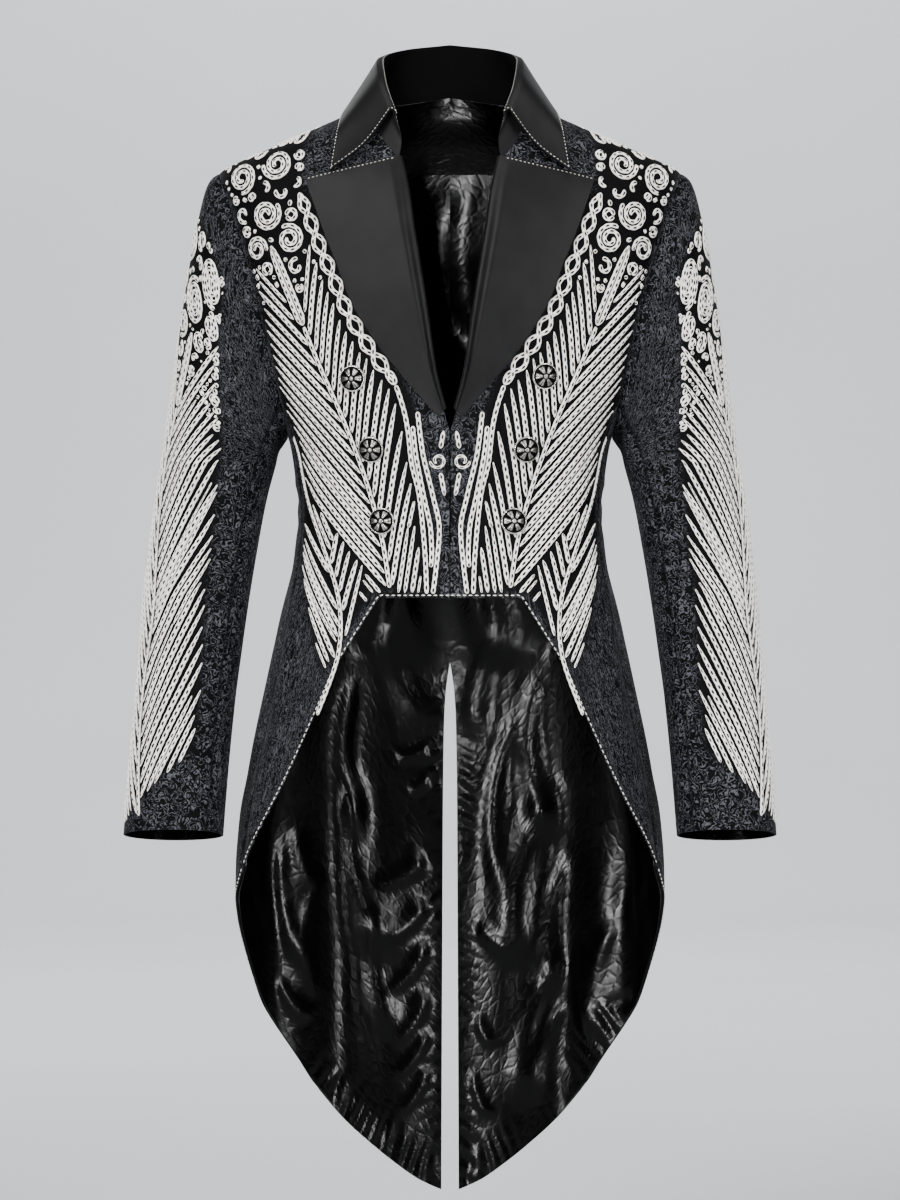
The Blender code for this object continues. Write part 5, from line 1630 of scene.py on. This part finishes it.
# a small scroll with a leaf over and under it on each side of the closing
sprig = Ground((0.0, -0.46), (0.06, -0.30))
from_scroll = np.hypot(sprig.places[..., 0] - 0.0112, sprig.places[..., 1] + 0.3400)
sprig_rows = scrolls(sprig, from_scroll < 0.0092, 0.0088, 0.0080, 0.0014)
for heading, z, size in ((1.75, -0.3290, 0.017), (-1.75, -0.3510, 0.022), (-1.05, -0.3500, 0.012)):
    sprig_rows += leaf(sprig, np.array([0.0088, z]), heading, (size,), 0.0026, 0.0, 1)


ROPE_SWING, ROPE_LAY = 0.0052, 0.042        # of a strand to each side, and length of one wave
ROPE_LIFT = 0.0012                          # of a strand where it goes over the other
ROPE_HALF, CORD_HALF = 0.0022, 0.0023       # half widths of the rope's strands and of a cord


def swung(line, swing, lay, turn):
    """A line of the plan swung aside by a sine, one wave for each lay of the rope, and its lift.

    The lift is half a cosine, so each strand goes over and under the other by turns.
    """
    at = reach_along(line)
    t = np.arange(0.0, at[-1], 0.001)
    middle = np.stack([np.interp(t, at, line[:, 0]), np.interp(t, at, line[:, 1])], -1)
    way = np.gradient(middle, axis=0)
    way /= np.linalg.norm(way, axis=-1, keepdims=True)
    aside = np.stack([-way[:, 1], way[:, 0]], -1)
    wave = 2.0 * np.pi * t / lay + turn
    fade = np.clip(np.minimum(t, at[-1] - t) / 0.014, 0.0, 1.0)
    lift = ROPE_LIFT * (0.5 + 0.5 * np.cos(wave))
    return middle + aside * (swing * fade * np.sin(wave))[:, None], lift


front_chains = [chain_row(path, half, front_place, LINK_SHIFT * i)
                for i, (path, half) in enumerate(front_rows)]
front_chains += [chain_row(path, half, front_place) for path, half in sprig_rows]

# ---------------------------------------------------------------- the sleeve's needlework
arm_ground = Ground((-0.10, 0.0), (0.12, 0.64))
place_a = arm_ground.places[..., 0]
place_b = arm_ground.places[..., 1]
arm_ground.free = ((place_a > -0.080) & (place_a < 0.094) & (place_b > 0.045)
                   & (place_b < SLEEVE_LENGTH - 0.010 - 0.9 * np.clip(place_a - 0.02, 0.0, 0.2)))
arm_zone = arm_ground.free.copy()
head = place_b < 0.212 + 0.25 * np.abs(place_a - 0.01)
SLEEVE_FRONDS = (
    ([(0.0420, SLEEVE_LENGTH - 0.014), (0.0300, 0.520), (0.0380, 0.430), (0.0300, 0.340),
      (0.0280, 0.280), (0.0340, 0.225)], 0.36, 0.170),
    ([(-0.0500, SLEEVE_LENGTH - 0.030), (-0.0540, 0.500), (-0.0500, 0.400), (-0.0520, 0.300),
      (-0.0500, 0.250)], 0.36, 0.130),
)
sleeve_rows = []
for knots, angle, longest in SLEEVE_FRONDS:
    sleeve_rows += frond(arm_ground, knots, angle, longest)
for shortest, half, rows in ((0.050, 0.0056, 2),) + FILLERS:
    sleeve_rows += scatter(arm_ground, ~head, shortest, 0.140, half, rows)
sleeve_rows += scrolls(arm_ground, head, 0.0220, 0.0030)
sleeve_chains = [chain_row(path, half, sleeve_place, LINK_SHIFT * i)
                 for i, (path, half) in enumerate(sleeve_rows)]

border = []
for turn in (0.0, math.pi):
    line, lift = swung(rope_plan[:KNOT + 1], ROPE_SWING, ROPE_LAY, turn)
    border.append(chain_row(line, np.full(len(line), ROPE_HALF), front_place, 3.0 * turn, lift))
for line in (rope_plan[KNOT:], inner_row, middle_row):
    border.append(chain_row(line, np.full(len(line), CORD_HALF), front_place))
for label, mirrored in SIDES:
    sew("front_needlework_" + label, front_chains, CORD_STUFF, mirrored)
    sew("sleeve_needlework_" + label, sleeve_chains, CORD_STUFF, mirrored)
    sew("rope_border_" + label, border, CORD_STUFF, mirrored)


def soften(zone, reach=6):
    """Share of a zone's cells within reach of each cell, by repeated means of neighbours."""
    share = zone.astype(float)
    for _ in range(reach):
        share[1:-1, 1:-1] = 0.25 * (share[2:, 1:-1] + share[:-2, 1:-1]
                                    + share[1:-1, 2:] + share[1:-1, :-2])
    return share


def darken(name, share, mirrored):
    """Writes how much of the ground is covered at each point of a cloth piece."""
    mesh = bpy.data.objects[name].data
    both = np.stack([share, share])
    if mirrored:
        both = both[:, :, ::-1]
    mesh.attributes.new("needlework", "FLOAT", "POINT").data.foreach_set("value", both.ravel())


# plain black ground under the needlework and the rope
rope_z = np.interp(place_z, edge_z, rope_plan[::-1, 0])
black = front_zone | ((np.abs(place_s - rope_z) < 0.0115) & (place_z < -0.086) & (place_z > -0.466))
front_share = lookup(soften(black), round_front(front_plan[..., 0], front_plan[..., 1]) / CELL,
                     (front_plan[..., 1] - ground.low[1]) / CELL)
station = np.arange(sleeve.shape[1])
station = station - sleeve.shape[1] * (station > sleeve.shape[1] // 2)
run = np.stack([np.interp(station, row, SLEEVE_A, -1.0, 1.0) for row in sleeve_station])
arm_share = lookup(soften(arm_zone), (run - arm_ground.low[0]) / CELL,
                   sleeve_down[:, None] / CELL + 0.0 * run)
arm_share[np.abs(run) > 0.11] = 0.0
top_share = np.concatenate([arm_share[:, HIND:], arm_share[:, :FORE + 1]], axis=1)[:, ::-1]
shares = {"front_cloth_": front_share, "side_cloth_": np.zeros(side_grid.shape[:2]),
          "back_cloth_": np.zeros(back_grid.shape[:2]), "topsleeve_cloth_": top_share,
          "undersleeve_cloth_": arm_share[:, FORE:HIND + 1][:, ::-1].copy()}
# the seams are pressed flat, so the ground is black along them too
SEAM_SHARE = 0.85
for name, share in shares.items():
    share[:, -1] = SEAM_SHARE
    if name != "front_cloth_":
        share[:, 0] = SEAM_SHARE
    for label, mirrored in SIDES:
        darken(name + label, share, mirrored)


# ---------------------------------------------------------------- dashed edge stitching
# length, gap, half width and height of a stitch
EDGE_DASH = (0.0034, 0.0022, 0.00055, 0.0005)
FINE_DASH = (0.0020, 0.0020, 0.00028, 0.00025)
DASH_OFF = 0.5 * CLOTH + 0.0001             # of a stitch's middle from the cloth's middle
EDGE_INSET = 0.0022
LAPEL_FIRST = 14            # first point of the lapel's top edge that the collar leaves bare


def dashes(line, normal, length, gap, half, height):
    """Short raised stitches along a line in space: half ellipsoids, one every length and gap."""
    at = reach_along(line)
    middle = np.arange(0.5 * length, at[-1] - 0.5 * length, length + gap)
    point = np.stack([np.interp(middle, at, line[:, c]) for c in range(3)], -1)
    up = np.stack([np.interp(middle, at, normal[:, c]) for c in range(3)], -1)
    way = np.gradient(line, axis=0)
    way = np.stack([np.interp(middle, at, way[:, c]) for c in range(3)], -1)
    way /= np.linalg.norm(way, axis=-1, keepdims=True)
    up -= (up * way).sum(axis=-1, keepdims=True) * way
    up /= np.linalg.norm(up, axis=-1, keepdims=True)
    across = np.cross(up, way)
    t = np.array([-1.0, -0.75, 0.0, 0.75, 1.0])
    ring = np.radians(np.arange(6) * 60.0)
    thick = np.sqrt(np.clip(1.02 - t * t, 0.0, 1.0))
    aside = half * thick[:, None] * -np.cos(ring)[None, :]
    rise = height * thick[:, None] * np.sin(ring)[None, :]
    body = (point[:, None, None] + way[:, None, None] * (0.5 * length * t)[None, :, None, None]
            + across[:, None, None] * aside[None, ..., None]
            + up[:, None, None] * rise[None, ..., None])
    place = np.stack(np.broadcast_arrays(ring[None, :] / 6.3, 2.2 * t[:, None]), -1)
    uv = np.broadcast_to(place, body.shape[:3] + (2,))
    return [(body[i], uv[i]) for i in range(len(middle))]


def edge_line(grid, edge, inset):
    """A line just inside an edge of a grid, on its outer face, with its normals."""
    normal = grid_normals(grid)
    near, far, up = {
        "top": (grid[0], grid[2], normal[1]),
        "bottom": (grid[-1], grid[-3], normal[-2]),
        "left": (grid[:, 0], grid[:, 2], normal[:, 1]),
        "right": (grid[:, -1], grid[:, -3], normal[:, -2]),
    }[edge]
    way = far - near
    way /= np.linalg.norm(way, axis=-1, keepdims=True)
    return near + way * inset + up * DASH_OFF, up


stitching = []
for grid, edge, first in ((front_grid, "bottom", 0), (side_grid, "left", SEAM_ROWS),
                          (side_grid, "bottom", 0), (back_grid, "bottom", 0)):
    line, up = edge_line(grid, edge, EDGE_INSET)
    stitching += dashes(line[first:], up[first:], *EDGE_DASH)
for label, mirrored in SIDES:
    sew("edge_stitching_" + label, stitching, ROPE_STUFF, mirrored)

fine_dashes = []
for edge in ("right", "top", "bottom"):
    line, up = edge_line(collar, edge, EDGE_INSET)
    fine_dashes += dashes(line, up, *FINE_DASH)
crest = collar[:, ROLL_TOP - 2]
crest_up = grid_normals(collar)[:, ROLL_TOP - 2]
fine_dashes += dashes(crest + crest_up * DASH_OFF, crest_up, *FINE_DASH)
sew("collar_stitching", fine_dashes, ROPE_STUFF)
line, up = edge_line(lapel, "top", 0.0020)
lapel_dashes = dashes(line[LAPEL_FIRST:], up[LAPEL_FIRST:], *FINE_DASH)
for label, mirrored in SIDES:
    sew("lapel_stitching_" + label, lapel_dashes, ROPE_STUFF, mirrored)


# ---------------------------------------------------------------- buttons
# from the back's middle round the rim to the face's middle: share of the radius and height
BUTTON_PROFILE = np.array([
    (0.0, 0.0), (0.33, 0.0), (0.35, 0.0012), (0.80, 0.0014), (0.96, 0.0019), (1.0, 0.0026),
    (1.0, 0.0034), (0.975, 0.0040), (0.93, 0.0042), (0.89, 0.0040), (0.865, 0.0034), (0.84, 0.0036),
    (0.80, 0.0042), (0.74, 0.0047), (0.66, 0.0052), (0.58, 0.0056), (0.50, 0.0059), (0.42, 0.0061),
    (0.34, 0.0062), (0.27, 0.0062), (0.22, 0.0060), (0.19, 0.0062), (0.15, 0.0068), (0.09, 0.0071),
    (0.0, 0.0072),
])
FACE_FIRST = 11             # the profile's first point inside the rim
BUTTON_TURNS = 72
BUTTON_OFF = 0.0006         # of the button's back from the cloth's outer face
PETAL_RISE, VEIN_DROP = 0.0009, 0.0003


def button(name, x, z):
    """Domed button turned from a profile, with six petals and a boss raised on its face.

    The height over the base is the profile's, plus the petals' wave of six round the axis
    and less a vein along each petal's middle, between a fifth and four fifths of the radius.
    """
    out_to, up_to = BUTTON_PROFILE.T
    radius = out_to * BUTTON_RADIUS
    turn = np.radians(np.arange(BUTTON_TURNS) * 360.0 / BUTTON_TURNS)
    petal = np.abs(np.cos(3.0 * turn)) ** 0.7
    band = np.clip((0.82 - out_to) / 0.08, 0, 1) * np.clip((out_to - 0.20) / 0.08, 0, 1)
    band[:FACE_FIRST] = 0.0
    vein = np.exp(-((np.abs(np.sin(3.0 * turn)) / 0.16) ** 2))
    relief = (PETAL_RISE * band[:, None] * (petal[None, :] - 0.55)
              - VEIN_DROP * band[:, None] * vein[None, :])
    height = up_to[:, None] + relief
    angle = angle_at(np.array(abs(x)), z, -1)
    base = cloth_point(angle, np.array(z), 0.5 * CLOTH + BUTTON_OFF)
    up = figure_normal(angle, np.array(z))
    right = np.cross(np.array([0.0, 0.0, 1.0]), up)
    right /= np.linalg.norm(right)
    over = np.cross(up, right)
    points = (base + right * (radius[:, None] * np.cos(turn))[..., None]
              + over * (radius[:, None] * np.sin(turn))[..., None] + up * height[..., None])
    worn = (out_to > 0.92) | (out_to < 0.18)
    tone = np.clip(0.33 + relief / PETAL_RISE + 0.42 * worn[:, None], 0, 1)
    for groove in (0.865, 0.22):
        tone[out_to == groove] = 0.0
    uv = np.stack([np.broadcast_to(turn, height.shape), tone], -1)
    faces = grid_faces(len(out_to), BUTTON_TURNS, True)[:, ::-1]
    if x < 0:
        points = points * np.array([-1.0, 1.0, 1.0])
        faces = faces[:, ::-1]
    made = build(name + "_silver", points, faces, uv, "row", SILVER_STUFF)
    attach(made, "root")
    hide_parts(name)


for name, x, z in BUTTONS:
    button(name, x, z)

# ---------------------------------------------------------------- stage
# paper 32 m wide: a floor, a quarter round of 1.6 m radius and a wall of 5 m
rows, columns = 90, 4
t = np.linspace(0.0, 1.0, rows)
bend = np.clip((t - 0.6) / 0.2, 0.0, 1.0) * math.pi / 2
depth = -16.0 + 21.5 * np.minimum(t / 0.6, 1.0) + 1.6 * np.sin(bend)
height = -1.20 + 1.6 * (1.0 - np.cos(bend)) + 5.0 * np.clip((t - 0.8) / 0.2, 0.0, 1.0)
width = np.linspace(-16.0, 16.0, columns)
paper = np.stack(np.broadcast_arrays(width[None, :], depth[:, None], height[:, None]), -1)
backdrop = build("backdrop", paper, grid_faces(rows, columns)[:, ::-1], paper[..., (0, 2)],
                 "metres", PAPER_STUFF)
